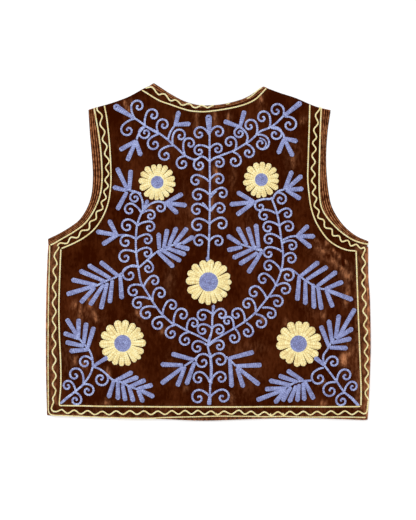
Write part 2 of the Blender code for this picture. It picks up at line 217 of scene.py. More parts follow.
# The pattern is laid out on a grid whose y runs down: its unit in metres, and the frame's origin on it
UNIT = 0.001446
GRID_X, GRID_Y = 208.5, 251.9

SHEEN_AND_SHADE_STROKES = (
    # x and y on the layout grid, direction in degrees from +x, length and width in metres, strength of
    # the painted sheen, which is below 0 where the stroke paints shade
    (126.5, 106, -62, 0.026, 0.0018, 0.80),
    (131.0, 101, -80, 0.014, 0.0024, 0.42),
    (261.0, 98.5, 88, 0.016, 0.0022, 0.60),
    (227.5, 117, 90, 0.018, 0.0017, 0.55),
    (215.0, 119, 92, 0.030, 0.0024, 0.38),
    (197.0, 116, 90, 0.020, 0.0017, 0.34),
    (175.0, 118, 88, 0.020, 0.0026, 0.16),
    (246.0, 118, 88, 0.030, 0.0032, 0.18),
    (292.5, 160, 90, 0.034, 0.0018, 0.36),
    (200.0, 175, 90, 0.050, 0.0036, 0.18),
    (216.0, 172, 90, 0.060, 0.0044, 0.26),
    (192.0, 215, 92, 0.060, 0.0040, 0.10),
    (233.0, 178, 90, 0.060, 0.0050, 0.08),
    (212.0, 205, 90, 0.050, 0.0040, 0.20),
    (74.0, 305, 62, 0.018, 0.0030, 0.50),
    (81.0, 310, 84, 0.030, 0.0024, 0.40),
    (90.0, 302, -72, 0.034, 0.0020, 0.60),
    (95.6, 317, -66, 0.024, 0.0024, 0.78),
    (75.5, 360, 96, 0.020, 0.0034, 0.36),
    (84.0, 366, 108, 0.018, 0.0032, 0.32),
    (108.0, 372, 106, 0.026, 0.0026, 0.34),
    (107.0, 402, 20, 0.016, 0.0042, 0.40),
    (139.0, 313, 120, 0.016, 0.0034, 0.52),
    (163.0, 330, 70, 0.016, 0.0032, 0.42),
    (147.0, 282, 60, 0.016, 0.0030, 0.28),
    (100.0, 273, -24, 0.020, 0.0022, 0.32),
    (172.0, 263, 90, 0.022, 0.0030, 0.16),
    (322.0, 250, -30, 0.030, 0.0026, 0.40),
    (334.0, 262, -44, 0.034, 0.0024, 0.42),
    (345.0, 274, -64, 0.030, 0.0024, 0.46),
    (316.0, 240, -52, 0.020, 0.0020, 0.36),
    (346.0, 300, 84, 0.036, 0.0034, 0.30),
    (323.0, 315, 90, 0.024, 0.0028, 0.34),
    (343.5, 360, 92, 0.030, 0.0044, 0.70),
    (350.0, 350, 84, 0.024, 0.0030, 0.36),
    (286.0, 322, 96, 0.018, 0.0026, 0.24),
    (323.0, 403, 30, 0.014, 0.0036, 0.42),
    (322.0, 383, 60, 0.016, 0.0034, 0.28),
    (262.0, 320, 90, 0.016, 0.0026, 0.26),
    (240.0, 372, 78, 0.024, 0.0050, 0.18),
    (232.0, 398, 92, 0.026, 0.0030, 0.24),
    (186.0, 388, 86, 0.022, 0.0026, 0.20),
    (300.0, 232, 88, 0.030, 0.0030, 0.10),
    (303.0, 120, 60, 0.020, 0.0034, 0.24),
    (150.0, 208, 90, 0.020, 0.0030, 0.20),
    (118.0, 150, 92, 0.030, 0.0016, 0.12),
    (236.0, 292, 96, 0.030, 0.0040, 0.08),
    (170.0, 282, 88, 0.070, 0.0070, 0.10),
    (327.0, 243, -72, 0.014, 0.0016, 0.50),
    (333.5, 251, -48, 0.018, 0.0015, 0.52),
    (339.0, 257, -78, 0.018, 0.0017, 0.46),
    (346.5, 263, -66, 0.016, 0.0015, 0.50),
    (350.0, 276, -86, 0.020, 0.0018, 0.50),
    (341.0, 269, -102, 0.016, 0.0016, 0.36),
    (328.0, 256, -58, 0.018, 0.0017, -0.40),
    (337.0, 247, -62, 0.016, 0.0017, -0.34),
    (343.0, 263, -74, 0.018, 0.0016, -0.40),
    (348.0, 290, 84, 0.022, 0.0022, 0.42),
    (240.0, 280, 90, 0.080, 0.0110, -0.30),
    (78.0, 257, 0, 0.070, 0.0100, -0.32),
    (112.0, 114, -30, 0.060, 0.0120, -0.32),
    (115.0, 210, 60, 0.060, 0.0110, -0.16),
    (118.0, 160, 90, 0.060, 0.0080, -0.12),
    (247.0, 348, 0, 0.100, 0.0100, 0.06),
    (297.0, 152, 90, 0.060, 0.0080, 0.04),
    (216.5, 170, 90, 0.040, 0.0012, 0.34),
    (197.5, 128, 90, 0.030, 0.0011, 0.30),
)

# Pattern, its places and its radii and half widths on the layout grid

SCROLL = (
    # quarter turns, distance from the eye in radii
    (0, 1.08), (1, 1.01), (2, 0.91), (3, 0.76), (3.5, 0.59), (4, 0.36), (4.4, 0.15), (4.8, -0.04),
    (5.2, -0.15),
)
SCROLL_POINTS = 82
SCROLL_SMOOTHING = 9
STEMS = (
    # points of each stem
    ((209.6, 131), (209.6, 146), (209.7, 162), (209.9, 181), (209.9, 200), (209.6, 220), (209.1, 240),
     (208, 259)),
    ((213.6, 305), (212.5, 316), (211.8, 330), (209.6, 340), (207.8, 346), (209.8, 355), (210.9, 366),
     (210.4, 382), (209.9, 396)),
    ((209, 161), (205, 157.5), (201, 156.5), (197, 159), (193, 159.3), (185, 155.4), (178, 149),
     (173, 144.6), (168, 140), (160, 133.8), (155, 130.8), (146, 126.3), (140.6, 122.2), (134, 117.9)),
    ((209.5, 161.5), (214, 158.5), (221, 155.4), (232, 151.4), (238, 148.2), (246, 143.4), (251, 140),
     (257, 134.4), (261, 131), (270, 127.5), (276, 123.3), (284, 115.5)),
    ((146, 126), (141.2, 130.4), (138.3, 135), (136.5, 140)),
    ((168, 139.5), (170.4, 132), (175.2, 125)),
    ((246.4, 143), (247.6, 136.5), (244.4, 130.5), (240, 126.8)),
    ((271, 127.8), (278, 129.6), (283, 134), (284, 139)),
    ((209, 342), (198, 335.7), (187, 330.7), (177, 325), (172, 323), (165, 317), (161, 313), (155, 305),
     (150, 297), (145, 289), (141, 282), (139, 272), (137.7, 264), (136.3, 252), (136, 240), (137.3, 225),
     (142, 212), (146, 206)),
    ((208, 345), (214, 340), (222, 335.2), (233, 328.9), (245, 321.4), (255.4, 312.5), (263.7, 302.6),
     (270.8, 293.4), (276.6, 283.2), (281.3, 270), (283.1, 258), (282.5, 248), (280.8, 236), (278.8, 222),
     (276, 210), (271, 197)),
    ((143, 209), (142.5, 201), (140, 195), (136, 191.8), (129, 190.5)),
    ((144, 210), (150, 204.4), (158, 201.6), (166, 203)),
    ((136, 239), (130, 236), (124, 235), (117, 235.5)),
    ((273, 199), (275, 194.5), (279, 191), (285, 189.5)),
    ((271, 199), (262, 199.4), (254, 202)),
    ((283, 240), (290, 236.8), (298, 236)),
    ((139, 267), (133, 265.4), (127, 268), (122, 273.3)),
    ((122, 273), (116, 277), (110, 279.5), (104, 282), (96, 286)),
    ((281, 270), (290, 269), (298, 274.5)),
    ((298, 274.5), (304, 279.4), (312, 284.6), (320, 288.4), (327, 289.5)),
    ((139, 267.5), (148, 259.5), (156, 252.5)),
    ((156, 252.5), (163, 248.6), (172, 245.4), (182, 243)),
    ((158, 253), (165, 250), (172, 248)),
    ((263, 251), (256, 249.5), (248, 246.6), (240, 244)),
    ((262, 250), (257, 247.5), (252, 246)),
    ((197, 357), (192, 361), (184, 366)),
    ((226, 356.5), (230, 360), (236, 366)),
    ((60.5, 403.5), (67, 397.5), (75, 391.5), (83, 384.5), (90, 375), (93, 366.5)),
    ((93, 366.5), (92.4, 358), (89.3, 350), (84, 344), (79, 338)),
    ((93, 366.5), (100, 369), (106.6, 374), (112.6, 379.5), (121, 382), (129, 386), (138, 389.5)),
    ((359, 405.5), (352, 398), (344, 391.7), (337, 382), (329.5, 372), (324, 365)),
    ((324, 365), (323.2, 356), (327.5, 349), (330, 344), (334, 338)),
    ((311, 380.4), (304, 380.8), (297, 381.5), (290, 385), (283, 389)),
)
SECOND_ROWS = (
    # stretches where a second row lies beside the stem
    ((210.5, 353), (212, 366), (211.5, 384)),
    ((62, 403), (69, 397), (77, 390.5), (84, 384.5)),
    ((357.5, 405.5), (350.5, 398), (343.5, 392)),
    ((147, 127.2), (152, 130.4), (158, 133.8)),
    ((209, 346.5), (208.5, 340), (211.5, 332)),
    ((211, 197.5), (213.5, 194), (217, 191)),
    ((208, 209), (205, 205), (202, 202.5)),
    ((211, 211.5), (214, 207.5), (216.5, 205)),
    ((259.6, 137.9), (263, 139.2), (265.7, 142), (265.8, 145.6), (263.4, 148.6)),
)
CLOCKWISE_SCROLLS = (
    # root x, root y, eye x, eye y, radius
    (209.5, 134, 218.2, 131.8, 5.6), (209.5, 149, 217.4, 148.6, 4.9), (213, 158.6, 219.1, 162.5, 5.1),
    (209.8, 180.4, 218.6, 179.2, 5.4), (209.8, 196, 222, 193.2, 5.5), (209.8, 211.5, 219.7, 208.6, 5.5),
    (209.3, 224.6, 221.2, 223.8, 6.1), (208.8, 241.8, 217.8, 241.2, 5.3),
    (212.3, 317, 221.2, 314.1, 5.4), (212, 328.6, 219, 329.7, 5.0), (209, 345.6, 219.2, 345.5, 5.2),
    (211, 357.3, 219.8, 359.6, 6.3), (210.8, 381.8, 220.6, 377.5, 5.8), (210.2, 397, 222.6, 396.3, 6.8),
    (134.4, 117.8, 137.7, 106.4, 6.2), (145, 126, 152.5, 114.9, 5.9), (158.6, 133.5, 163.0, 124.8, 5.8),
    (172.9, 144, 179.8, 135.5, 6.2), (185.2, 155, 189.4, 143.5, 5.8),
    (233, 151.8, 235.1, 160.7, 5.9), (246.6, 144, 248.8, 152.3, 5.3), (257.4, 134.8, 262.0, 143.0, 7.2),
    (270.6, 127.8, 275.7, 133.9, 6.1), (284.6, 116.8, 289.8, 124.3, 6.5),
    (154.5, 202.2, 160.4, 207.2, 5.0), (142, 213.4, 150.5, 215.2, 4.8), (137.6, 225.6, 149.6, 226.8, 5.3),
    (136.5, 239.2, 147.1, 239.4, 5.1), (136.6, 252.2, 147, 252.7, 5.0), (147.6, 260.4, 148.6, 268, 4.6),
    (143.6, 288, 154, 280.8, 5.2), (152.8, 301, 160.0, 293.4, 5.9), (162.8, 314, 171.6, 305.3, 5.5),
    (173.9, 323, 181.9, 314.6, 6.2), (187, 330, 193.4, 323.3, 5.1),
    (278, 213.4, 286.8, 213.4, 4.9), (279.6, 226.2, 288.3, 226.7, 5.3), (281.6, 243.6, 291.8, 245.5, 4.9),
    (282.6, 258, 290.7, 258.4, 5.4), (281, 271.2, 288.0, 275.5, 5.9), (276.4, 286, 284.8, 288.9, 5.7),
    (270, 296.8, 277.3, 301.5, 5.6), (262.4, 307.8, 270.8, 313.6, 5.1), (255.8, 314.2, 260.6, 322.4, 5.7),
    (246.4, 323, 247.8, 331.5, 5.3), (235.2, 328.8, 234.1, 337.6, 5.3), (276.4, 192.6, 281, 199.2, 5.1),
    (106.4, 374, 101.6, 379.0, 6.3), (84, 384.2, 88.4, 390.2, 5.4), (75.4, 392.2, 76.3, 399.8, 5.1),
    (324.4, 366, 332.8, 361.8, 5.5), (336.8, 381.6, 345.0, 375.2, 6.1), (344.4, 391, 352.4, 386.5, 5.0),
)
ANTICLOCKWISE_SCROLLS = (
    # root x, root y, eye x, eye y, radius
    (209, 134.5, 199.8, 133, 5.9), (209, 147.8, 199.3, 150.4, 5.2), (198.3, 158.6, 199.1, 164.9, 5.2),
    (209, 181.5, 196.3, 180.4, 5.5), (209, 194.4, 198.3, 195.0, 5.9), (209, 210.5, 197.2, 209.6, 5.8),
    (209, 223.3, 198.1, 225.2, 6.4), (208.5, 240, 199.6, 240.8, 5.8),
    (211.6, 313.4, 202.8, 315.4, 5.6), (211.5, 327.8, 202.8, 329.6, 5.4), (207.6, 345.8, 197.7, 347.0, 5.9),
    (209.6, 356.8, 202.6, 361.1, 6.9), (209.6, 382.2, 199.1, 377.9, 6.2), (209.8, 397, 198.6, 396.9, 7.0),
    (134.6, 118.8, 127.5, 129.8, 6.3), (144, 127, 144.8, 133, 5.6), (158.6, 134.2, 153.8, 143.8, 6.1),
    (173, 145.6, 165.0, 154.7, 6.0), (185, 156, 182.3, 163.2, 5.7),
    (234.6, 150.8, 230.4, 142.4, 5.7), (256.4, 134.6, 250.5, 125.6, 6.1), (269.4, 127.6, 263.3, 117.5, 6.3),
    (283.4, 115.4, 277, 110.1, 6.3), (240, 127, 239.3, 132.8, 4.8),
    (141, 193.8, 135, 197.6, 5.0), (141, 212.4, 130.2, 209.4, 5.8), (137, 225, 127.6, 225.6, 6.1),
    (136.3, 239.2, 126, 241.4, 5.8), (135.8, 252.4, 125.2, 256.7, 6.2), (138.6, 267.2, 129.4, 274.0, 6.9),
    (143, 286, 133.8, 290.7, 5.7), (150, 299, 138.3, 303.1, 5.7), (156, 307.3, 146.6, 313.1, 6.1),
    (164, 317, 158.3, 323.7, 6.0), (175, 325, 171.2, 332.9, 5.5), (189, 332, 185.4, 339.8, 5.6),
    (269.6, 199.4, 260, 206, 5.3), (275.8, 213.8, 264.3, 215.3, 5.5), (279, 226, 268.3, 227.2, 5.4),
    (280.4, 238.6, 269.4, 239.2, 5.4), (281.8, 251.6, 268.9, 252.8, 5.6), (280.6, 270.5, 269.1, 266, 5.5),
    (275.6, 284.4, 263.7, 279, 5.6), (266.6, 299.4, 254.9, 292.2, 6.2), (255.6, 311.5, 248.1, 304, 5.7),
    (244.6, 321, 237.2, 314.1, 5.9), (233.5, 328.5, 228, 321.1, 4.6),
    (91.9, 359.9, 85.3, 361.8, 5.5), (83.5, 383, 75.7, 374.5, 6.5), (75.6, 391, 68.0, 385.6, 5.0),
    (323.6, 367.6, 318.4, 377.5, 6.9), (335.6, 382.2, 330, 390.0, 6.9), (344, 392.7, 341.5, 400.5, 5.4),
)
FINGERS = (
    # base x, base y, tip x, tip y
    (136, 141, 119.5, 150.3), (135.8, 142, 127.2, 161.2), (136, 141, 141, 156.3),
    (175.2, 126, 179, 110.8), (175, 124.7, 190.7, 123.5),
    (240, 127, 223.5, 121), (240, 127, 244.7, 110.2),
    (284, 138.5, 297.8, 141.5), (284, 139, 278, 154.3), (284, 139, 293, 156.8),
    (128, 190.5, 116.8, 167.5), (129.4, 190.5, 130.9, 169.7),
    (126, 190.5, 112.7, 187), (127, 192, 117, 210.2),
    (166, 203, 183, 193.6), (165, 203, 187, 205.5), (166, 203, 178, 213.8),
    (117, 235.5, 108.8, 219.7), (118, 235.3, 96, 231.5), (117, 235.4, 102.2, 244.7),
    (284.6, 189.5, 292.1, 170.7), (286, 189.8, 302.2, 175.2),
    (286, 190, 303.7, 188.8), (286, 190, 300.8, 199.2),
    (254, 202, 236.8, 192), (254, 202, 229.5, 204.6), (254, 202.4, 236.4, 215.2),
    (297, 236, 308.7, 225.2), (297, 236, 315.2, 236.4), (297, 236, 311.3, 247.8),
    (118.4, 276, 100, 261.5), (110.6, 278.4, 88.0, 264.8),
    (106, 281.8, 79.3, 270.5), (97, 285.2, 71.3, 279.6),
    (95, 285.8, 66.4, 294.4), (95, 287.5, 80.6, 303), (103.9, 284.3, 90, 305.4), (107.3, 283, 101, 309.4),
    (112.4, 280.5, 109.8, 303.3), (120.4, 275.5, 121.9, 299.4),
    (301, 275.7, 318.9, 261.6), (306.5, 279.6, 327.6, 266.4),
    (317, 286.2, 336.7, 271.3), (325, 289, 343, 281.5),
    (326, 289.7, 353, 300), (299.2, 276, 297.1, 301), (305.3, 281, 305.2, 305), (312.8, 284, 313.8, 308.8),
    (317.8, 287, 321.4, 310), (325.9, 290, 332.8, 307.5),
    (159.3, 249, 158.7, 232.7), (163.8, 248, 167.5, 228.8),
    (168.9, 245.5, 176.9, 227), (174.4, 244.2, 187.5, 227.6),
    (182, 243.6, 194, 236.3), (175, 245.5, 189.8, 249.3),
    (167, 248, 186.2, 254.8), (161, 249.6, 181.3, 261.3),
    (158, 252, 174, 267.3),
    (258.6, 247.5, 255.7, 223.7), (253.8, 247, 247.5, 226.9),
    (247, 245.3, 237.3, 227), (240, 244, 226.8, 235.3),
    (242, 247, 227, 250.3), (256.2, 247.2, 232.4, 258.2),
    (257.6, 252.6, 239, 264.5), (261.6, 252, 247.8, 273.2),
    (194, 359.7, 171.3, 353.5), (183, 365, 160.6, 364.3),
    (183, 367, 161, 383.8), (185, 366.5, 177.2, 386.5),
    (194.6, 362, 186.3, 384.8),
    (229, 358.3, 254, 351.9), (236, 366, 261.8, 364.8), (238, 368, 259.6, 384.8), (237, 368, 243.5, 387.5),
    (229.8, 359, 231.8, 387.5),
    (79, 338, 66.5, 318.5), (78.6, 337, 79.0, 318.3), (83.7, 345, 86.7, 322.2), (87.4, 349, 94.2, 326.5),
    (80, 338.5, 63.5, 333), (84, 346, 65.5, 342), (88, 349.5, 69.5, 351),
    (115, 381, 133, 371.7), (121.5, 383, 138.7, 376.8), (130, 386.4, 146, 379.7), (137, 389, 153, 384.6),
    (138, 389, 154.5, 397), (114, 380.5, 108.4, 398.2), (118, 382, 118, 400), (122.6, 384, 125.5, 401.2),
    (128.8, 385.4, 133.6, 402.1), (138, 390, 143.3, 402.5),
    (329, 347, 320.5, 325.3), (332, 342, 328.5, 319.5),
    (335.5, 338, 339, 314.3), (337.8, 337.4, 355.2, 308.3),
    (336, 338.6, 353, 328), (331.6, 342.8, 351.3, 338.3), (329.5, 347.4, 347.5, 347.9),
    (303, 380.7, 286.8, 370), (297, 381.8, 278.4, 375.4),
    (291, 385, 268.8, 380.2), (286, 388, 264.7, 389.1),
    (284, 389.5, 256.3, 400.3), (285.8, 389.2, 274.6, 403.3),
    (290.7, 387, 282.2, 401.6), (296.1, 385.5, 289.1, 402.6),
    (299, 384, 297.3, 402), (303, 382.5, 304.4, 400.9), (304.5, 381, 314, 399.5),
)
BUDS = (
    # base x, base y, tip x, tip y, half width at the base, at the tip
    (209.3, 133, 208.5, 114.5, 2.0, 3.3), (134, 118.3, 113.7, 105.4, 1.5, 3.3),
    (284.5, 115.5, 301.6, 101.9, 1.9, 2.7),
    (210, 396, 209, 405.3, 1.3, 2.3), (207.7, 261, 207.7, 256.4, 1.3, 1.9),
    (93.5, 366, 108.3, 356.8, 1.6, 2.2),
    (324, 365, 314.3, 356.8, 1.6, 2.4), (213.4, 310, 213.4, 304.6, 1.4, 1.7),
    (145, 207, 148, 199.8, 1.2, 2.1),
)
FLOWERS = (
    # centre x, centre y, outer radius, centre radius, then each petal's degrees from +x
    ((157.3, 182.3, 19.0, 6.7),
     (103, 82, 61, 38, 14, -7, -30, -53, -74, -92, -111, -131, -160, 175, 150, 127)),
    ((261.3, 179.8, 18.6, 6.8), (86, 62, 38, 15, -5, -28, -55, -80, -100, -120, -145, -169, 165, 137, 110)),
    ((208.6, 281.8, 23.2, 9.9),
     (84, 61, 41, 17, -1, -18, -39, -56, -73, -91, -110, -134, -155, 177, 155, 133, 107)),
    ((122.8, 343.2, 23.4, 8.8),
     (82, 60, 41, 24, 1, -24, -41, -55, -75, -93, -112, -131, -153, -178, 156, 131, 104)),
    ((298.4, 343.6, 23.2, 8.7), (89, 68, 45, 18, -6, -32, -55, -76, -94, -119, -142, -174, 163, 139, 113)),
)
BORDER_LINES = (
    # points of each line
    ((60.9, 249.5), (60.4, 262), (59.4, 285), (58.9, 310), (59.4, 335), (60.7, 362), (60.8, 385),
     (59.4, 402), (60, 405.3), (63, 405.7)),
    ((63, 405.6), (90, 406), (110, 406.3), (150, 406.7), (210, 406.9), (290, 406.7), (350, 406.7),
     (360.6, 406.4)),
    ((356.2, 251), (356.9, 275), (357.8, 300), (359.1, 335), (360.5, 370), (361.2, 390), (361, 405.6)),
    ((94, 108), (96.6, 122), (99.5, 140), (101.4, 160), (102, 180), (100, 195), (94.6, 209), (86.3, 221.8),
     (75.4, 230.7), (60.4, 239.6), (54, 243.4), (50, 245)),
    ((104.3, 105.5), (106.7, 118), (108.7, 135), (110.1, 152), (110.9, 170), (110.8, 184), (108.6, 201),
     (103.6, 215), (95.6, 227.6), (85.4, 236.6), (73.4, 243.4), (61.2, 248.6)),
    ((309.9, 104.5), (309.2, 130), (308.2, 160), (307.8, 178), (308.9, 192), (311, 207), (315.2, 220),
     (321, 230.5), (328, 239.5), (337, 246), (347, 250), (356, 251)),
    ((321.4, 107.5), (320.4, 130), (319.6, 160), (319.3, 180), (319.7, 195), (321.6, 206.8),
     (326.5, 216.4), (334.8, 226.1), (343.6, 233.8), (352.4, 239.5), (361, 242.8), (368.6, 244.3)),
    ((142, 90), (150, 95), (160, 100.8), (170, 104.3), (180, 107.8), (190, 110.6), (200, 111.6),
     (210, 111.2), (220, 109.8), (232, 107.8), (245, 104.3), (255, 99.5), (261.5, 93.5), (266.5, 88)),
)
EDGE_LINES = (
    # points of the thin outermost lines
    ((49.6, 245.5), (49.3, 262), (48.7, 290), (48.2, 320), (48, 350), (48.1, 385), (48.2, 403),
     (48.4, 411), (50.2, 414.2), (54, 415.2), (60, 415.5), (75, 416.2), (100, 417.2), (130, 418.2),
     (150, 418.3), (160, 417.8), (175, 417.2), (195, 416.8), (218, 416.2), (245, 416.3), (268, 416.8),
     (283, 416.4), (300, 417.1), (320, 417.1), (345, 417.1), (366, 417.5)),
)
NECK_WAVE = (
    # points of the row that waves round the neck
    (145.5, 88), (151, 86.9), (154, 89), (156.2, 92.2),
    (159, 94.6), (162, 93.9), (165, 94.2), (167.5, 97.2),
    (169.7, 100.2), (172, 100.7), (175, 99.8), (178, 101.4),
    (181, 104.5), (184, 105), (187.5, 103.7), (190.5, 104.3),
    (193, 106.9), (196, 107.7), (199, 106.4), (201.5, 105.3),
    (204.5, 106.2), (207.5, 107.6), (211, 106.2), (214, 105.3),
)
NECK_BITS = (
    # points of two loose bits of that wave
    ((226, 104.2), (230, 103.4)),
    ((247, 98.6), (251, 96.2), (254.5, 93.4), (258, 90.2), (262, 87.4)),
)
WAVE_LINKS = (
    # how the waves turn round the hem's corners, and two slips of the hem's wave onto its edge line
    ((55.9, 390), (54.8, 394.4), (52.7, 398.2), (53.5, 402), (52.2, 405.5), (51.4, 408.8), (53.2, 411.3),
     (57, 411.5), (61, 409.6)),
    ((368.4, 401), (367.8, 405), (367.4, 409), (366.6, 412.4), (364, 413.8), (361, 412.4), (359, 411)),
    ((364, 247), (365, 249.6), (364, 252.5), (362.4, 256)),
    ((270.4, 413.6), (271.2, 416.4)), ((283, 413.2), (283.4, 416)), ((216.4, 413.4), (217.4, 415.6)),
)
WAVES = (
    # x and y of the midline, and the number of swings made there
    ((57.2, 246.5, 0.0), (56, 256, 0.5), (54.8, 271, 1.5), (54.3, 287, 2.5), (54.2, 303, 3.5),
     (54.1, 320, 4.5), (54, 336, 5.5), (54, 352, 6.5), (54.2, 368, 7.5), (54.3, 384, 8.5),
     (54.4, 390, 8.9)),
    ((61, 411.2, 0), (74.2, 412, 1), (87.6, 412.5, 2), (102.2, 413.1, 3), (116, 412.8, 4), (130, 412.6, 5),
     (144, 412.7, 6), (158, 412.8, 7), (172, 412.5, 8), (198, 412.3, 10), (211, 412.9, 11),
     (224, 412.9, 12), (238.8, 411.9, 13), (251, 413, 14), (264.5, 413.7, 15), (278, 413.7, 16),
     (290, 413.2, 17), (317, 413.1, 19), (331, 412.7, 20), (359, 412.9, 22)),
    ((363.8, 256, 0.5), (363.7, 270, 1.5), (363.7, 283, 2.5), (364, 297, 3.5), (364.8, 311, 4.5),
     (365.6, 325, 5.5), (366.1, 338.5, 6.5), (366.3, 352, 7.5), (366.6, 366, 8.5), (366.9, 380, 9.5),
     (367, 393, 10.5), (367, 401, 11)),
    ((98.1, 107, 0.35), (100.4, 116, 1), (103, 132, 2), (105.2, 146.5, 3), (107.4, 161, 4), (107, 174, 5),
     (106.4, 186, 6), (104.4, 197.5, 7), (101.1, 207.8, 8), (94.5, 217.9, 9), (87.5, 228, 10),
     (76.7, 236, 11), (66.3, 241.7, 12), (57.2, 246.4, 12.75)),
    ((318.4, 106.5, -0.1), (316.4, 123, 1), (314.8, 137, 2), (314.3, 149, 3), (313.4, 162, 4),
     (313.3, 174.5, 5), (313.8, 187, 6), (315, 198.6, 7), (317.4, 211.4, 8), (322.5, 221.3, 9),
     (330.5, 230.5, 10), (338.1, 237.4, 11), (347.3, 242.1, 12), (356, 246, 13), (364, 247, 13.75)),
)


def soft_step(x: Array) -> Array:
    """0 up to x = 0, 1 from x = 1, and the cubic 3x² - 2x³ between them."""
    x = np.clip(x, 0, 1)
    return x * x * (3 - 2 * x)


def on_grid(points: Table) -> Array:
    """Places in metres of points of the layout grid, whose y runs down."""
    p = np.asarray(points, float)
    return np.stack(((p[..., 0] - GRID_X) * UNIT, (GRID_Y - p[..., 1]) * UNIT), axis=-1)


def even(count: int) -> Array:
    """Shares of a curve that cut it into equal lengths."""
    return np.linspace(0, 1, count + 1)


def smooth_line(points: Table) -> Array:
    """Fine points of the smooth curve through the given points.

    Each stretch is the cubic through its two ends, with the slope at each end that of the line between
    that end's neighbours.

    Args:
        points: The points that the curve passes through.

    Returns:
        An array of points along the curve.
    """
    p = np.asarray(points, float)
    q = np.vstack((2 * p[0] - p[1], p, 2 * p[-1] - p[-2]))
    t = np.linspace(0, 1, CURVE_STEPS, endpoint=False)[None, :, None]
    a, b, c, d = (q[k : len(q) - 3 + k, None] for k in range(4))
    bend = 2 * a - 5 * b + 4 * c - d
    turn = 3 * (b - c) + d - a
    fine = b + 0.5 * t * ((c - a) + t * (bend + t * turn))
    return np.vstack((fine.reshape(-1, p.shape[1]), p[-1:]))


def lengths(line: Array) -> Array:
    """Distance along a line from its start to each of its points."""
    return np.insert(np.cumsum(np.linalg.norm(np.diff(line, axis=0), axis=1)), 0, 0)


def at_shares(line: Array, shares: Array) -> Array:
    """Points at the given shares of a line's length."""
    along = lengths(line)
    at = along[-1] * np.asarray(shares)
    return np.column_stack([np.interp(at, along, line[:, k]) for k in range(line.shape[1])])


def curve_through(points: Table, shares: Array) -> Array:
    """Points at the given shares of the length of the smooth curve through the given points."""
    return at_shares(smooth_line(points), shares)


def even_then_turn(points: Table, count: int, rim: int = 0) -> Array:
    """Equal shares, and more of them over the run where the cloth turns down before the curve's end.

    Args:
        points: The curve's points.
        count: Number of stations before the turn.
        rim: Number of extra stations within the turn.

    Returns:
        Rising shares from 0 to 1.
    """
    length = lengths(np.asarray(points, float))[-1]
    turn = 1 - TURN_RUN / length
    return np.concatenate((np.linspace(0, turn, count), np.linspace(turn, 1, rim + 2)[1:]))


def grid_line(points: Table) -> Array:
    """The smooth line through points of the layout grid."""
    return smooth_line(on_grid(points))


def straight(start: Array, end: Array) -> Array:
    """A straight line of points from one place to another."""
    return start + (end - start) * even(STRAIGHT_STEPS)[:, None]


def run_and_left(line: Array) -> tuple[Array, Array]:
    """A line's direction at each of its points, and the direction to its left."""
    run = np.gradient(line, axis=0)
    run /= np.maximum(np.linalg.norm(run, axis=1), TINY)[:, None]
    return run, np.stack((-run[:, 1], run[:, 0]), axis=1)


def distance_to(xy: Array, line: Array) -> Array:
    """Distance of each point to the nearest stretch of a line of points."""
    p = xy.reshape(-1, 1, 2)
    a = line[None, :-1]
    run = line[None, 1:] - a
    share = np.clip(((p - a) * run).sum(2) / (run * run).sum(2), 0, 1)
    near = np.linalg.norm(a + share[..., None] * run - p, axis=2).min(1)
    return near.reshape(xy.shape[:-1])


def depth_inside(xy: Array, outline: Array) -> Array:
    """Distance to a closed outline, positive inside it and negative outside it.

    A point is inside where a line from it towards +x crosses the outline an odd number of times.
    """
    closed = np.vstack((outline, outline[:1]))
    p = xy.reshape(-1, 1, 2)
    a, b = closed[None, :-1], closed[None, 1:]
    over = (a[..., 1] > p[..., 1]) != (b[..., 1] > p[..., 1])
    rise = np.where(over, b[..., 1] - a[..., 1], 1.0)
    crossing = a[..., 0] + (p[..., 1] - a[..., 1]) / rise * (b[..., 0] - a[..., 0])
    inside = ((over & (p[..., 0] < crossing)).sum(1) % 2) == 1
    return np.where(inside.reshape(xy.shape[:-1]), 1, -1) * distance_to(xy, closed)


def patch(left: Array, right: Array, bottom: Array, top: Array) -> Array:
    """Grid of points between four edges that share their corners, rows from bottom to top.

    A row runs straight from the left edge to the right one, bowed like the bottom edge low down and
    like the top edge high up: the bow of the bottom counts 1 - v³ and that of the top v³.
    """
    v = np.linspace(0, 1, len(left))[:, None, None]
    u = ((bottom[:, 0] - bottom[0, 0]) / (bottom[-1, 0] - bottom[0, 0]))[None, :, None]
    across = (1 - u) * left[:, None] + u * right[:, None]
    bottom_bow = bottom[None] - ((1 - u) * bottom[0] + u * bottom[-1])
    top_bow = top[None] - ((1 - u) * top[0] + u * top[-1])
    return across + (1 - v**3) * bottom_bow + v**3 * top_bow


def edge_at(points: Table, x: Array) -> Array:
    """The points of an edge above the given x, the edge running from left to right."""
    fine = curve_through(points, even(FINE_STEPS))
    return np.column_stack((x, np.interp(x, fine[:, 0], fine[:, 1])))


def outer_edge(table: Table) -> list[Sequence[float]]:
    """A band's outer edge, which is the waistcoat's outline."""
    return [row[:2] for row in table]


def seam_line(table: Table) -> list[Sequence[float]]:
    """Where a band meets the panel."""
    return [row[2:] for row in table]


def front_curves(side: int) -> tuple[Array, Array, Array]:
    """The edges of one front.

    Args:
        side: -1 for the left front and 1 for the right one.

    Returns:
        Its side edge, its armhole and its neck edge, each from below upwards or from the shoulder down.
    """
    table = ARMHOLE_LEFT if side < 0 else ARMHOLE_RIGHT
    shift = np.array((-side * FRONT_SHIFT_X, -FRONT_SHIFT_Y))
    armhole = curve_through(np.asarray(seam_line(table)) + shift, even(OUTLINE_STEPS))
    side_edge = curve_through(SIDE_LEFT if side < 0 else SIDE_RIGHT, even(OUTLINE_STEPS))
    side_edge = side_edge + (FRONT_SIDE_MOVE[side], 0)
    side_edge = side_edge[side_edge[:, 1] < armhole[0, 1] - SEAM_GAP]
    side_edge[0, 1] += FRONT_HEM_IN
    neck = curve_through([(side * x, y) for x, y in FRONT_NECK], even(OUTLINE_STEPS))
    return np.vstack((side_edge, armhole[:1])), armhole, neck


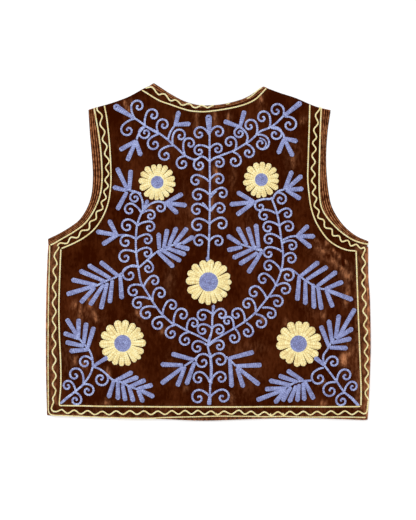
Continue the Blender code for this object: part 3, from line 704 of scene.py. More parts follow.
def fronts_outline() -> Array:
    """The outline that the two fronts cover together, anticlockwise."""
    side_left, armhole_left, neck_left = front_curves(-1)
    side_right, armhole_right, neck_right = front_curves(1)
    hem = edge_at(HEM, np.linspace(side_left[0, 0], side_right[0, 0], OUTLINE_STEPS)) + (0, FRONT_HEM_IN)
    outline = np.vstack(
        (hem, side_right, armhole_right, neck_right, neck_left[::-1], armhole_left[::-1], side_left[::-1])
    )
    step = np.linalg.norm(outline - np.roll(outline, 1, axis=0), axis=1)
    return outline[step > SEAM_GAP]


def patchy(along: Array) -> Array:
    """How strong the ribs' painted highlight is along a strip, uneven between 0 and 1."""
    first, second, third = PATCH_WAVES
    return 0.5 + 0.5 * np.sin(along * first + PATCH_SWAY * np.sin(along * second)) * np.cos(along * third)


def signed_power(values: Array, power: float) -> Array:
    """A power of the values' sizes, with their signs kept."""
    return np.sign(values) * np.abs(values) ** power


def ridges(xy: Array, table: Table) -> Array:
    """Sum of soft ridges: rise times exp(-(across / width)²), fading to nothing at the two ends."""
    x, y = xy[..., 0], xy[..., 1]
    height = np.zeros_like(x)
    for ridge_x, ridge_y, degrees, length, width, rise in table:
        along_x, along_y = np.cos(np.radians(degrees)), np.sin(np.radians(degrees))
        along = ((x - ridge_x) * along_x + (y - ridge_y) * along_y) / (length / 2)
        across = ((y - ridge_y) * along_x - (x - ridge_x) * along_y) / width
        height += rise * np.exp(-(across**2)) * soft_step(1 - np.abs(along))
    return height


@dataclass
class Lie:
    """How the cloth lies: the height of the back's underside over the whole waistcoat.

    The parts of the height that take long to work out are kept on a square grid and read off it by
    blending the four nearest places; the folds and creases are added exactly.
    """

    step: float = 0.00125
    low: tuple[float, float] = (-0.240, -0.250)
    high: tuple[float, float] = (0.240, 0.250)
    run: int = 6000
    kept: Array = field(init=False)

    def __post_init__(self) -> None:
        """Fills the kept grid, a run of places at a time."""
        x = np.arange(self.low[0], self.high[0], self.step)
        y = np.arange(self.low[1], self.high[1], self.step)
        places = np.stack(np.meshgrid(x, y), axis=-1)
        flat = places.reshape(-1, 2)
        steps = even(OUTLINE_STEPS)
        left = [curve_through(t, steps) for t in (SIDE_LEFT, seam_line(ARMHOLE_LEFT), SHOULDER_LEFT[::-1])]
        right = [curve_through(t, steps) for t in (seam_line(ARMHOLE_RIGHT), SHOULDER_RIGHT[::-1])]
        seams = [np.vstack((left[0], left[1][1:], left[2][1:])), np.vstack((right[0], right[1][1:]))]
        neck = np.vstack((front_curves(-1)[2], front_curves(1)[2][::-1]))
        outline = fronts_outline()
        heights = []
        for start in range(0, len(flat), self.run):
            some = flat[start : start + self.run]
            near_seam = np.minimum(*[distance_to(some, line) for line in seams])
            past_neck = depth_inside(some, neck)
            sunk = np.maximum(
                soft_step(1 - near_seam / TURN_RUN), soft_step((past_neck - NECK_HOLD) / NECK_SINK)
            )
            swell = SWELL_HEIGHT * soft_step(depth_inside(some, outline) / SWELL_RUN)
            heights.append(LIFT - (LIFT - SUNK) * sunk + swell)
        self.kept = np.concatenate(heights).reshape(places.shape[:2])

    def resting(self, xy: Array) -> Array:
        """Height of the underside without folds, blended between the four nearest kept places."""
        at = (xy - np.array(self.low)) / self.step
        cell = np.clip(np.floor(at).astype(int), 0, np.array(self.kept.shape)[::-1] - 2)
        share = at - cell
        column, row = cell[..., 0], cell[..., 1]
        lower = self.kept[row, column] * (1 - share[..., 0]) + self.kept[row, column + 1] * share[..., 0]
        upper = (
            self.kept[row + 1, column] * (1 - share[..., 0]) + self.kept[row + 1, column + 1] * share[..., 0]
        )
        return lower * (1 - share[..., 1]) + upper * share[..., 1]

    def folds(self, xy: Array) -> Array:
        """Height of the folds and creases."""
        return ridges(xy, FOLDS) + ridges(xy, CREASES)

    def under(self, xy: Array) -> Array:
        """Height of the cloth's underside."""
        return self.resting(xy) + self.folds(xy)

    def top(self, xy: Array) -> Array:
        """Height of the cloth's upper side."""
        return self.under(xy) + WALL


def new_piece(
    name: str, points: Array, faces: Sequence[NDArray[np.int64]], smooth: bool = True
) -> bpy.types.Object:
    """A mesh object at the origin.

    Args:
        name: The piece's name.
        points: One row of three coordinates per vertex.
        faces: Arrays of corner numbers, one row per face, each array with its own number of corners.
        smooth: Whether its faces are shaded smooth.

    Returns:
        The object, linked into the scene.
    """
    mesh = bpy.data.meshes.new(name)
    corners = np.concatenate([rows.ravel() for rows in faces]).astype(np.int32)
    sizes = np.concatenate([np.full(len(rows), rows.shape[1]) for rows in faces])
    starts = np.insert(np.cumsum(sizes)[:-1], 0, 0).astype(np.int32)
    mesh.vertices.add(len(points))
    mesh.vertices.foreach_set("co", np.ascontiguousarray(points, dtype=np.float32).ravel())
    mesh.loops.add(len(corners))
    mesh.loops.foreach_set("vertex_index", corners)
    mesh.polygons.add(len(sizes))
    mesh.polygons.foreach_set("loop_start", starts)
    mesh.update(calc_edges=True)
    mesh.validate()
    if smooth:
        mesh.shade_smooth()
    piece = bpy.data.objects.new(name, mesh)
    bpy.context.scene.collection.objects.link(piece)
    return piece


def add_values(piece: bpy.types.Object, name: str, values: Array) -> None:
    """Gives each vertex of a piece a number that its material reads by name."""
    layer = piece.data.attributes.new(name, "FLOAT", "POINT")
    layer.data.foreach_set("value", np.ascontiguousarray(values, dtype=np.float32).ravel())


def grid_faces(rows: int, columns: int, start: int = 0, flip: bool = False) -> NDArray[np.int64]:
    """Quads of a grid of points stored row by row, facing up where rows run to +y and columns to +x."""
    first = start + np.arange(rows - 1)[:, None] * columns + np.arange(columns - 1)[None]
    quads = np.stack((first, first + 1, first + columns + 1, first + columns), axis=-1).reshape(-1, 4)
    return quads[:, ::-1] if flip else quads


def rim_of(rows: int, columns: int) -> NDArray[np.int64]:
    """Numbers of a grid's border points, once round."""
    return np.concatenate(
        (
            np.arange(rows)[::-1] * columns,
            np.arange(1, columns),
            np.arange(1, rows) * columns + columns - 1,
            (rows - 1) * columns + np.arange(columns - 2, 0, -1),
        )
    )


def tube_faces(rings: int, around: int, start: int = 0) -> tuple[NDArray[np.int64], NDArray[np.int64]]:
    """Faces of a closed tube whose points are stored ring by ring.

    They face outwards where each ring runs from the tube's right over its top to its left.

    Args:
        rings: Number of rings.
        around: Number of points in a ring.
        start: Number of the first point.

    Returns:
        The quads between the rings, and the two faces that close the ends.
    """
    ring = np.arange(around)
    after = np.roll(ring, -1)
    first = start + np.arange(rings - 1)[:, None] * around
    quads = np.stack((first + ring, first + around + ring, first + around + after, first + after), axis=-1)
    ends = np.stack((start + ring, start + (rings - 1) * around + ring[::-1]))
    return quads.reshape(-1, 4), ends


def with_height(xy: Array, z: Array) -> Array:
    """Grid of points in plan with their heights."""
    return np.concatenate((xy, np.broadcast_to(z, xy.shape[:-1])[..., None]), axis=-1)


def cloth_shell(
    name: str, plan: Array, top: Array, under: Array, turn_over: bool = False
) -> bpy.types.Object:
    """A closed shell of cloth with a rounded rim.

    The upper and lower grids are joined by one ring at mid height, moved out from the border by a
    quarter of the wall, and the two grids' border points come towards that height by a fifth of it.

    Args:
        name: The piece's name.
        plan: Rows and columns of points in plan.
        top: Height of the upper side at each point.
        under: Height of the underside at each point.
        turn_over: Whether the plan's columns run against its rows, so that faces are turned.

    Returns:
        The piece.
    """
    rows, columns = plan.shape[:2]
    count = rows * columns
    rim = rim_of(rows, columns)
    upper, lower = with_height(plan, top).reshape(-1, 3), with_height(plan, under).reshape(-1, 3)
    thick = (upper[rim, 2] - lower[rim, 2])[:, None]
    ahead = np.roll(upper[rim, :2], -1, axis=0) - np.roll(upper[rim, :2], 1, axis=0)
    out = np.stack((ahead[:, 1], -ahead[:, 0]), axis=1)
    out /= np.maximum(np.linalg.norm(out, axis=1), TINY)[:, None]
    if turn_over:
        out = -out
    middle = (upper[rim] + lower[rim]) / 2
    middle[:, :2] += out * thick * RIM_OUT
    upper[rim, 2:] -= thick * RIM_IN
    lower[rim, 2:] += thick * RIM_IN
    ring = 2 * count + np.arange(len(rim))
    after = np.roll(ring, -1)
    high = np.stack((rim, ring, after, np.roll(rim, -1)), axis=1)
    low = np.stack((ring, rim + count, np.roll(rim, -1) + count, after), axis=1)
    faces = [grid_faces(rows, columns), grid_faces(rows, columns, count, flip=True), high, low]
    if turn_over:
        faces = [part[:, ::-1] for part in faces]
    return new_piece(name, np.vstack((upper, lower, middle)), faces)


# Shaders

# Value that every noise lies about
NOISE_MIDDLE = 0.5


class Signal:
    """A number carried by a socket: an operator on it adds a Math node."""

    def __init__(self, graph: "Graph", socket: bpy.types.NodeSocket) -> None:
        """Wraps a socket of a graph."""
        self.graph = graph
        self.socket = socket

    def _math(self, operation: str, first: object, second: object, clamp: bool = False) -> "Signal":
        """A Math node on two values, either of which may be a number."""
        settings = {"operation": operation, "use_clamp": clamp}
        node = self.graph.node("ShaderNodeMath", settings, {0: first, 1: second})
        return Signal(self.graph, node.outputs[0])

    def __add__(self, other: object) -> "Signal":
        """Sum."""
        return self._math("ADD", self, other)

    __radd__ = __add__

    def __mul__(self, other: object) -> "Signal":
        """Product."""
        return self._math("MULTIPLY", self, other)

    def __sub__(self, other: object) -> "Signal":
        """Difference."""
        return self._math("SUBTRACT", self, other)

    def __rsub__(self, other: object) -> "Signal":
        """Difference with the number first."""
        return self._math("SUBTRACT", other, self)

    def clamped(self) -> "Signal":
        """The value held between 0 and 1."""
        return self._math("ADD", self, 0.0, clamp=True)


class Graph:
    """The nodes of one material, where a Mix node's inputs and output for colours go by number."""

    mix_share, mix_first, mix_second, mix_result = 0, 6, 7, 2

    def __init__(self, name: str) -> None:
        """Starts a material with its shader."""
        self.material = bpy.data.materials.new(name)
        self.material.use_nodes = True
        self.tree = self.material.node_tree
        self.shader = self.tree.nodes["Principled BSDF"]

    def node(self, kind: str, settings: dict | None = None, inputs: dict | None = None) -> bpy.types.Node:
        """Adds a node.

        Args:
            kind: The node's type.
            settings: Its properties, set before its sockets.
            inputs: Values, signals or sockets for its inputs, by name or number.

        Returns:
            The node.
        """
        made = self.tree.nodes.new(kind)
        for key, value in (settings or {}).items():
            setattr(made, key, value)
        for key, value in (inputs or {}).items():
            self.feed(made.inputs[key], value)
        return made

    def feed(self, socket: bpy.types.NodeSocket, value: object) -> None:
        """Links a signal or socket to an input, or sets a plain value on it."""
        if isinstance(value, Signal):
            value = value.socket
        if isinstance(value, bpy.types.NodeSocket):
            self.tree.links.new(value, socket)
        else:
            socket.default_value = value

    def value(self, name: str) -> Signal:
        """The number that the piece's vertices carry under a name."""
        node = self.node("ShaderNodeAttribute", {"attribute_type": "GEOMETRY", "attribute_name": name})
        return Signal(self, node.outputs["Fac"])

    def noise(self, per_metre: Sequence[float], detail: float = 2.0, turn: float = 0.0) -> Signal:
        """Noise with its own number of grains per metre along each axis of the piece.

        Args:
            per_metre: Grains per metre along x, y and z.
            detail: Number of finer layers.
            turn: Turn of the pattern about z, in radians.

        Returns:
            Values about 0.5.
        """
        place = self.node("ShaderNodeTexCoord").outputs["Object"]
        inputs = {"Vector": place, "Scale": tuple(per_metre), "Rotation": (0.0, 0.0, turn)}
        moved = self.node("ShaderNodeMapping", None, inputs).outputs["Vector"]
        inputs = {"Vector": moved, "Scale": 1.0, "Detail": detail, "Roughness": 0.6}
        return Signal(self, self.node("ShaderNodeTexNoise", None, inputs).outputs["Fac"])

    def blend(self, first: object, second: object, share: object, kind: str = "MIX") -> bpy.types.NodeSocket:
        """A colour between two others, or the first one changed by the second in another kind of blend."""
        node = self.node("ShaderNodeMix", {"data_type": "RGBA", "blend_type": kind, "clamp_factor": True})
        for number, value in ((self.mix_share, share), (self.mix_first, first), (self.mix_second, second)):
            self.feed(node.inputs[number], value)
        return node.outputs[self.mix_result]

    def bump(self, height: Signal, depth: float, strength: float) -> None:
        """Feeds a bump of a height signal to the shader's normal."""
        inputs = {"Height": height, "Distance": depth, "Strength": strength}
        self.feed(self.shader.inputs["Normal"], self.node("ShaderNodeBump", None, inputs).outputs["Normal"])


def colour(red: int, green: int, blue: int) -> tuple[float, float, float, float]:
    """Linear colour of a screen colour from 0 to 255: ((c + 0.055) / 1.055) to the power 2.4."""
    c = np.array((red, green, blue)) / 255
    linear = np.where(c <= 0.04045, c / 12.92, ((c + 0.055) / 1.055) ** 2.4)
    return (*[float(v) for v in linear], 1.0)


def grey(level: float) -> tuple[float, float, float, float]:
    """A linear grey."""
    return (level, level, level, 1.0)


@dataclass(frozen=True)
class Velvet:
    """Cut pile: dark where it stands, with painted sheen where it is crushed or leans, in streaks down the
    cloth.
    """

    name: str
    dark: tuple[int, int, int]
    body: tuple[int, int, int]
    # the colour that the painted sheen blends towards
    light: tuple[int, int, int]
    spots: tuple[int, int, int] = (260, 120, 180)
    blotches: tuple[int, int, int] = (24, 16, 24)
    streaks: tuple[int, int, int] = (300, 60, 120)
    streak_turn: float = 0.06
    grains: tuple[int, int, int] = (1500, 900, 900)
    blotch_middle: float = 0.40
    blotch_weight: float = 1.8
    streak_weight: float = 0.5
    spot_weight: float = 1.2
    sheen_and_shade_weight: float = 0.8
    patch_middle: float = 0.42
    patch_contrast: float = 5.2
    sheen_least: float = 0.04
    sheen_streaks: float = 0.5
    sheen_patches: float = 1.35
    sheen_grain: float = 0.12
    grain: float = 0.20
    sheen: float = 0.01
    sheen_roughness: float = 0.45
    roughness: float = 0.9
    sheen_shine: float = 0.12
    grain_bump: float = 0.6
    streak_bump: float = 0.8
    bump_depth: float = 0.0005
    bump_strength: float = 0.5

    def material(self) -> bpy.types.Material:
        """Builds the material from each vertex's painted sheen and shade: 1 crushed, 0 standing, below 0
        painted shade.
        """
        graph = Graph(self.name)
        sheen_and_shade = graph.value("sheen_and_shade")
        blotch = graph.noise(self.blotches, detail=3.0)
        streak = graph.noise(self.streaks, detail=4.0, turn=self.streak_turn)
        spot = graph.noise(self.spots, detail=3.0)
        grain = graph.noise(self.grains)
        body_tone = (blotch - self.blotch_middle) * self.blotch_weight
        body_tone = body_tone + (streak - NOISE_MIDDLE) * self.streak_weight
        body_tone = body_tone + (spot - NOISE_MIDDLE) * self.spot_weight
        # painted shade darkens this tone below 0, and painted sheen lightens it above 0
        body_tone = (body_tone + sheen_and_shade * self.sheen_and_shade_weight).clamped()
        body = graph.blend(colour(*self.dark), colour(*self.body), body_tone)
        patches = ((spot - self.patch_middle) * self.patch_contrast).clamped()
        # painted sheen: the share of the light colour, uneven in streaks, patches and grain
        share = self.sheen_least + streak * self.sheen_streaks + patches * self.sheen_patches
        painted_sheen = (sheen_and_shade * share + (grain - NOISE_MIDDLE) * self.sheen_grain).clamped()
        shade = graph.blend(body, colour(*self.light), painted_sheen)
        fine = graph.blend(grey(1 - self.grain), grey(1 + self.grain), grain)
        graph.feed(graph.shader.inputs["Base Color"], graph.blend(shade, fine, 1.0, "MULTIPLY"))
        graph.feed(graph.shader.inputs["Roughness"], self.roughness - painted_sheen * self.sheen_shine)
        graph.shader.inputs["Specular IOR Level"].default_value = 0.0
        graph.shader.inputs["Sheen Weight"].default_value = self.sheen
        graph.shader.inputs["Sheen Roughness"].default_value = self.sheen_roughness
        graph.shader.inputs["Sheen Tint"].default_value = colour(*self.light)
        uneven = grain * self.grain_bump + streak * self.streak_bump
        graph.bump(uneven, self.bump_depth, self.bump_strength)
        return graph.material


@dataclass(frozen=True)
class Thread:
    """Soft twisted thread of chain stitches."""

    name: str
    dark: tuple[int, int, int]
    body: tuple[int, int, int]
    light: tuple[int, int, int]
    twists: tuple[int, int, int] = (1900, 900, 1200)
    twist_turn: float = 0.7
    wears: tuple[int, int, int] = (90, 90, 90)
    twist_weight: float = 0.55
    wear_weight: float = 0.35
    roughness: float = 0.84
    twist_shine: float = 0.2
    specular: float = 0.2
    sheen: float = 0.10
    sheen_roughness: float = 0.5
    bump_depth: float = 0.0003
    bump_strength: float = 0.5

    def material(self) -> bpy.types.Material:
        """Builds the material, which reads each vertex's shade from 0, in a groove, to 1, on a crest."""
        graph = Graph(self.name)
        shade = graph.value("shade")
        twist = graph.noise(self.twists, turn=self.twist_turn)
        wear = graph.noise(self.wears)
        level = shade + (twist - NOISE_MIDDLE) * self.twist_weight
        level = (level + (wear - NOISE_MIDDLE) * self.wear_weight).clamped()
        low = graph.blend(colour(*self.dark), colour(*self.body), (level * 2.0).clamped())
        full = graph.blend(low, colour(*self.light), (level * 2.0 - 1.0).clamped())
        graph.feed(graph.shader.inputs["Base Color"], full)
        graph.feed(graph.shader.inputs["Roughness"], self.roughness - twist * self.twist_shine)
        graph.shader.inputs["Specular IOR Level"].default_value = self.specular
        graph.shader.inputs["Sheen Weight"].default_value = self.sheen
        graph.shader.inputs["Sheen Roughness"].default_value = self.sheen_roughness
        graph.bump(twist, self.bump_depth, self.bump_strength)
        return graph.material


# A velvet's light colour is its painted sheen. A thread's dark colour shows in its painted shade and its
# light colour on its painted highlights, each stitch's own tone moving it between them.
PILE = Velvet("brown_velvet_pile", (48, 12, 0), (87, 40, 17), (188, 124, 84))
BAND_PILE = Velvet("row_stitched_velvet", (50, 14, 1), (118, 62, 30), (186, 124, 82), spots=(300, 240, 240))
BLUE = Thread("blue_thread_chain", (102, 101, 138), (152, 160, 210), (204, 218, 255))
CREAM = Thread("cream_thread_chain", (206, 172, 112), (255, 238, 170), (255, 255, 218))


def finish(piece: bpy.types.Object, material: bpy.types.Material) -> None:
    """Gives a piece its material and slot, lets it ride on the waistcoat's body, and reports it."""
    piece.data.materials.clear()
    piece.data.materials.append(material)
    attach(piece, "root")
    piece.data.calc_loop_triangles()
    log.info("%s: %d triangles", piece.name, len(piece.data.loop_triangles))


def half_area(piece: bpy.types.Object) -> float:
    """Half of a closed shell's surface, which is its cloth's area, in square metres."""
    areas = np.empty(len(piece.data.polygons))
    piece.data.polygons.foreach_get("area", areas)
    return float(areas.sum() / 2)


# Cloth pieces


@dataclass
class BackPanel:
    """The velvet back, which lies on the fronts."""

    lie: Lie
    side_rows: int = 104
    armhole_rows: int = 92
    shoulder_columns: int = 34
    neck_columns: int = 84
    rim: int = 2
    border_run: float = 0.018
    border_low: float = 0.014
    border_sheen: tuple[float, float] = (0.19, 0.13)
    ramp: float = 0.004
    hem_run: float = 0.020
    hem_sheen: float = 0.05
    hem_wave: tuple[float, float] = (0.0085, 0.0170)
    hem_wave_fade: float = 0.003
    hem_wave_sheen: float = 0.04
    edge_run: float = 0.0030
    edge_fade: float = 0.002
    edge_sheen: float = 0.40
    crest_height: float = 0.0032
    crest_highlight: float = 0.08

    def plan(self) -> Array:
        """Points of the panel in plan, from the hem to the neck and shoulders."""
        sides = []
        for side, table in ((SIDE_LEFT, ARMHOLE_LEFT), (SIDE_RIGHT, ARMHOLE_RIGHT)):
            armhole = seam_line(table)
            armhole = curve_through(armhole, even_then_turn(armhole, self.armhole_rows, self.rim))
            edge = curve_through(side, even_then_turn(side, self.side_rows))
            sides.append(np.vstack((edge, armhole[1:])))
        left, right = sides
        shoulders = []
        for line in (SHOULDER_LEFT, SHOULDER_RIGHT):
            shoulders.append(curve_through(line, even_then_turn(line, self.shoulder_columns, self.rim)))
        neck = curve_through(seam_line(NECK), even(self.neck_columns))
        top = np.vstack((shoulders[0][::-1], neck[1:-1], shoulders[1]))
        share = (top[:, 0] - top[0, 0]) / (top[-1, 0] - top[0, 0])
        bottom = edge_at(HEM, left[0, 0] + share * (right[0, 0] - left[0, 0]))
        return patch(left, right, bottom, top)

    def sheen_and_shade(self, xy: Array) -> Array:
        """How much painted sheen and shade the pile shows.

        It sums the listed strokes, a painted sheen on a border down each side and on the hem's strip, which
        is less between the strip's two lines of stitches where the pile stands up, a painted sheen on the
        outermost edge, and a painted highlight on the crests of the folds.
        """
        painted_strokes = [(*on_grid((x, y)), *rest) for x, y, *rest in SHEEN_AND_SHADE_STROKES]
        left, right, hem = (curve_through(line, even(EDGE_STEPS)) for line in (SIDE_LEFT, SIDE_RIGHT, HEM))
        near = np.minimum(distance_to(xy, left), distance_to(xy, right))
        from_hem = distance_to(xy, hem)
        border = soft_step((self.border_run - near) / self.ramp)
        border = border * soft_step((from_hem - self.border_low) / self.ramp)
        border = border * np.where(xy[..., 0] < 0, *self.border_sheen)
        below, above = (soft_step((line - from_hem) / self.hem_wave_fade) for line in self.hem_wave)
        hem_strip = self.hem_sheen - self.hem_wave_sheen * (above - below)
        hem_strip = hem_strip * soft_step((self.hem_run - from_hem) / self.ramp)
        sheen_share = soft_step((self.edge_run - np.minimum(near, from_hem)) / self.edge_fade)
        crests = self.lie.folds(xy) / self.crest_height
        # painted sheen and shade of the strokes, border, hem's strip and outer edge, and a painted highlight
        # on the folds' crests
        return ridges(xy, painted_strokes) + border + hem_strip + self.edge_sheen * sheen_share + self.crest_highlight * crests

    def build(self) -> bpy.types.Object:
        """The panel's closed shell, with its painted sheen and shade."""
        plan = self.plan()
        under = self.lie.under(plan)
        piece = cloth_shell("velvet_back", plan, under + WALL, under)
        rows = np.concatenate([self.sheen_and_shade(part) for part in np.array_split(plan.reshape(-1, 2), SHEEN_PARTS)])
        rim = rows[rim_of(*plan.shape[:2])]
        add_values(piece, "sheen_and_shade", np.concatenate((rows, rows, rim)))
        return piece

    def dress(self, piece: bpy.types.Object, material: bpy.types.Material) -> None:
        """Stands for the back's solid and takes the pile."""
        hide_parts("back")
        finish(piece, material)


@dataclass
class Band:
    """A velvet strip with stitched ribs along it, between an edge and its seam."""

    lie: Lie
    name: str
    node: str
    table: Table
    ribs: int
    sunk: bool
    rows: int
    rim: int = 0
    rib_height: float = 0.0006
    rib_power: float = 0.7
    per_rib: int = 8
    # painted highlight on the ribs' crests, painted shade in the grooves, and a painted highlight on the rim
    crest_highlight: float = 0.85
    crest_power: float = 1.3
    highlight_least: float = 0.45
    highlight_more: float = 0.55
    groove_shade: float = 0.35
    under_share: float = 0.3
    rim_highlight: float = 0.5

    def build(self) -> bpy.types.Object:
        """The strip: its upper side rises by a power of the square of a sine across each rib."""
        seam_points = seam_line(self.table)
        shares = even_then_turn(seam_points, self.rows, self.rim) if self.sunk else even(self.rows)
        edge = curve_through(outer_edge(self.table), shares)
        seam = curve_through(seam_points, shares)
        across = seam - edge
        seam = seam - across / np.linalg.norm(across, axis=1)[:, None] * SEAM_GAP
        share = even(self.ribs * self.per_rib)
        plan = edge[:, None] * (1 - share[:, None]) + seam[:, None] * share[:, None]
        resting = SUNK if self.sunk else self.lie.resting(plan)
        under = resting + self.lie.folds(plan)
        crest = np.sin(np.pi * self.ribs * share) ** 2
        top = under + WALL + self.rib_height * crest**self.rib_power
        run = edge[1] - edge[0]
        turned = bool(run[0] * across[0, 1] > run[1] * across[0, 0])
        piece = cloth_shell(self.name, plan, top, under, turn_over=turned)
        # painted highlight on each rib's crest, patchy along the strip, painted shade in the grooves, and a
        # painted highlight on the rim
        sheen_share = self.highlight_least + self.highlight_more * patchy(lengths(edge)[:, None])
        sheen_and_shade = (self.crest_highlight * crest**self.crest_power)[None] * sheen_share
        flat = (sheen_and_shade - self.groove_shade * (1 - crest)[None] ** 2).reshape(-1)
        rim = self.rim_highlight + flat[rim_of(*plan.shape[:2])]
        add_values(piece, "sheen_and_shade", np.concatenate((flat, flat * self.under_share, rim)))
        return piece

    def dress(self, piece: bpy.types.Object, material: bpy.types.Material) -> None:
        """Stands for the band's solid and takes the row-stitched pile."""
        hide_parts(self.node)
        finish(piece, material)


@dataclass
class Front:
    """One of the two fronts, hidden under the back; the right one turns up in a roll at its side."""

    side: int
    rows: int = 40
    columns: int = 14
    armhole_rows: int = 44
    # level of painted sheen on the hidden front
    sheen_and_shade: float = 0.12
    roll_rows: int = 96
    roll_rim: int = 3
    roll_columns: int = 14
    roll_powers: tuple[float, float] = (0.7, 0.75)
    wrinkle: float = 0.05
    wrinkle_waves: tuple[float, float] = (140, 37)
    wrinkle_sway: float = 2
    end_run: float = 0.003
    end_height: float = 0.35
    # painted sheen: middle level, unevenness along the roll, and how much lighter its top and darker its
    # underside are painted
    roll_sheen: tuple[float, float, float] = (0.46, 0.22, 0.12)
    roll_sheen_waves: tuple[float, float] = (190, 61)

    @property
    def word(self) -> str:
        """Which front it is."""
        return "left" if self.side < 0 else "right"

    def curves(self) -> tuple[Array, Array, Array]:
        """Its outer edge from the hem to the shoulder, its inner edge, and its armhole's outline."""
        side_edge, armhole, neck = front_curves(self.side)
        seam = armhole[::KEPT_EVERY] + (-self.side * FRONT_BAND_MOVE[0], -FRONT_BAND_MOVE[1])
        seam[0] = armhole[0] - (0, FRONT_BAND_END)
        seam = curve_through(seam, even(self.armhole_rows))
        below = side_edge[side_edge[:, 1] < seam[0, 1] - FRONT_BAND_END]
        outer_side = curve_through(np.vstack((below[::KEPT_EVERY], seam[:1])), even(self.rows))
        outer = np.vstack((outer_side, seam[1:]))
        foot = edge_at(HEM, np.array([self.side * CENTRE_HALF_GAP])) + (0, FRONT_HEM_IN)
        path = np.vstack((foot, neck[::-1]))
        rise = (path[-1, 1] - path[0, 1]) / (outer[-1, 1] - outer[0, 1])
        level = path[0, 1] + (outer[:, 1] - outer[0, 1]) * rise
        inner = np.column_stack((np.interp(level, path[:, 1], path[:, 0]), level))
        return outer, inner, armhole

    def build(self) -> bpy.types.Object:
        """The panel's closed shell."""
        outer, inner, _ = self.curves()
        left, right = (outer, inner) if self.side < 0 else (inner, outer)
        u = even(self.columns)[:, None]
        top = left[-1] * (1 - u) + right[-1] * u
        hem_x = (left[0, 0] * (1 - u) + right[0, 0] * u)[:, 0]
        bottom = edge_at(HEM, hem_x) + (0, FRONT_HEM_IN)
        bottom[0], bottom[-1] = left[0], right[0]
        plan = patch(left, right, bottom, top)
        ones = np.ones(plan.shape[:2])
        piece = cloth_shell(f"velvet_front_{self.word}", plan, ones * WALL, ones * 0.0)
        add_values(piece, "sheen_and_shade", np.full(len(piece.data.vertices), self.sheen_and_shade))
        return piece

    def build_roll(self) -> bpy.types.Object:
        """The roll of the right side seam.

        Each cross-section is a closed curve: across it runs a power of |cos| and up it a power of |sin|,
        so that it is a rounded block. Its wrinkles and its painted sheen change with waves given in radians
        per metre, and it sinks over a short run at both ends.
        """
        shares = even_then_turn(SIDE_RIGHT, self.roll_rows, self.roll_rim)
        inner = curve_through(SIDE_RIGHT, shares) + (SEAM_GAP, 0)
        inner[-1, 1] -= SEAM_GAP
        line = curve_through(ROLL_EDGE, even(FINE_STEPS))
        outer_x = np.interp(inner[:, 1], line[:, 1], line[:, 0])
        turn = np.linspace(0, 2 * np.pi, self.roll_columns, endpoint=False)[None]
        across_power, up_power = self.roll_powers
        across = 0.5 - 0.5 * signed_power(np.cos(turn), across_power)
        up = 0.5 + 0.5 * signed_power(np.sin(turn), up_power)
        along = lengths(inner)[:, None]
        first, second = self.wrinkle_waves
        sway = self.wrinkle_sway * np.sin(along * second)
        wrinkle = 1 + self.wrinkle * np.sin(along * first + sway) * np.sin(turn)
        to_end = np.minimum(along, along[-1] - along)
        end = np.clip(to_end / self.end_run, self.end_height, 1) ** 0.5
        x = inner[:, :1] + (outer_x[:, None] - inner[:, :1]) * across
        z = ROLL_BASE + (ROLL_HEIGHT - ROLL_BASE) * up * wrinkle * end
        y = np.broadcast_to(inner[:, 1:], x.shape)
        points = np.stack((x, y, z), axis=-1)
        rows, columns = x.shape
        quads, ends = tube_faces(rows, columns)
        piece = new_piece("side_roll", points.reshape(-1, 3), [quads[:, ::-1], ends[:, ::-1]])
        first, second = self.roll_sheen_waves
        middle, uneven, upper = self.roll_sheen
        # painted sheen, uneven along the roll, with painted light on its top and painted shade underneath
        sheen_and_shade = middle + uneven * (np.sin(along * first) * np.sin(along * second + 1)) + upper * np.sin(turn)
        add_values(piece, "sheen_and_shade", sheen_and_shade)
        return piece

    def dress(self, piece: bpy.types.Object, material: bpy.types.Material) -> None:
        """Stands for the front's solid and takes the pile."""
        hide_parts(f"front_{self.word}")
        finish(piece, material)


@dataclass
class FrontBand:
    """The hidden stretch of an armhole band, on a front, plain and flat."""

    front: Front
    columns: int = 6
    # level of painted sheen on the hidden strip
    sheen_and_shade: float = 0.2

    def build(self) -> bpy.types.Object:
        """The strip's closed shell."""
        outer, _, armhole = self.front.curves()
        seam = outer[self.front.rows :]
        edge = curve_through(armhole[::KEPT_EVERY], even(len(seam) - 1))
        across = seam - edge
        inner = seam - across / np.linalg.norm(across, axis=1)[:, None] * SEAM_GAP
        pair = (edge, inner) if self.front.side < 0 else (inner, edge)
        share = even(self.columns)[:, None]
        plan = pair[0][:, None] * (1 - share) + pair[1][:, None] * share
        ones = np.ones(plan.shape[:2])
        piece = cloth_shell(f"front_armhole_trim_{self.front.word}", plan, ones * WALL, ones * 0.0)
        add_values(piece, "sheen_and_shade", np.full(len(piece.data.vertices), self.sheen_and_shade))
        return piece

    def dress(self, piece: bpy.types.Object, material: bpy.types.Material) -> None:
        """Stands for the hidden band's solid and takes the row-stitched pile."""
        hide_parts(f"front_armhole_band_{self.front.word}")
        finish(piece, material)


# Embroidery


class Turn(Enum):
    """Which way a scroll winds as seen from above."""

    CLOCKWISE = -1
    ANTICLOCKWISE = 1


@dataclass(frozen=True)
class Row:
    """One row of chain stitches: its line in plan, its width, how far it is raised, and its end's knob."""

    line: Array
    width: float
    raised: float = 0.0
    knob: float = 1.0


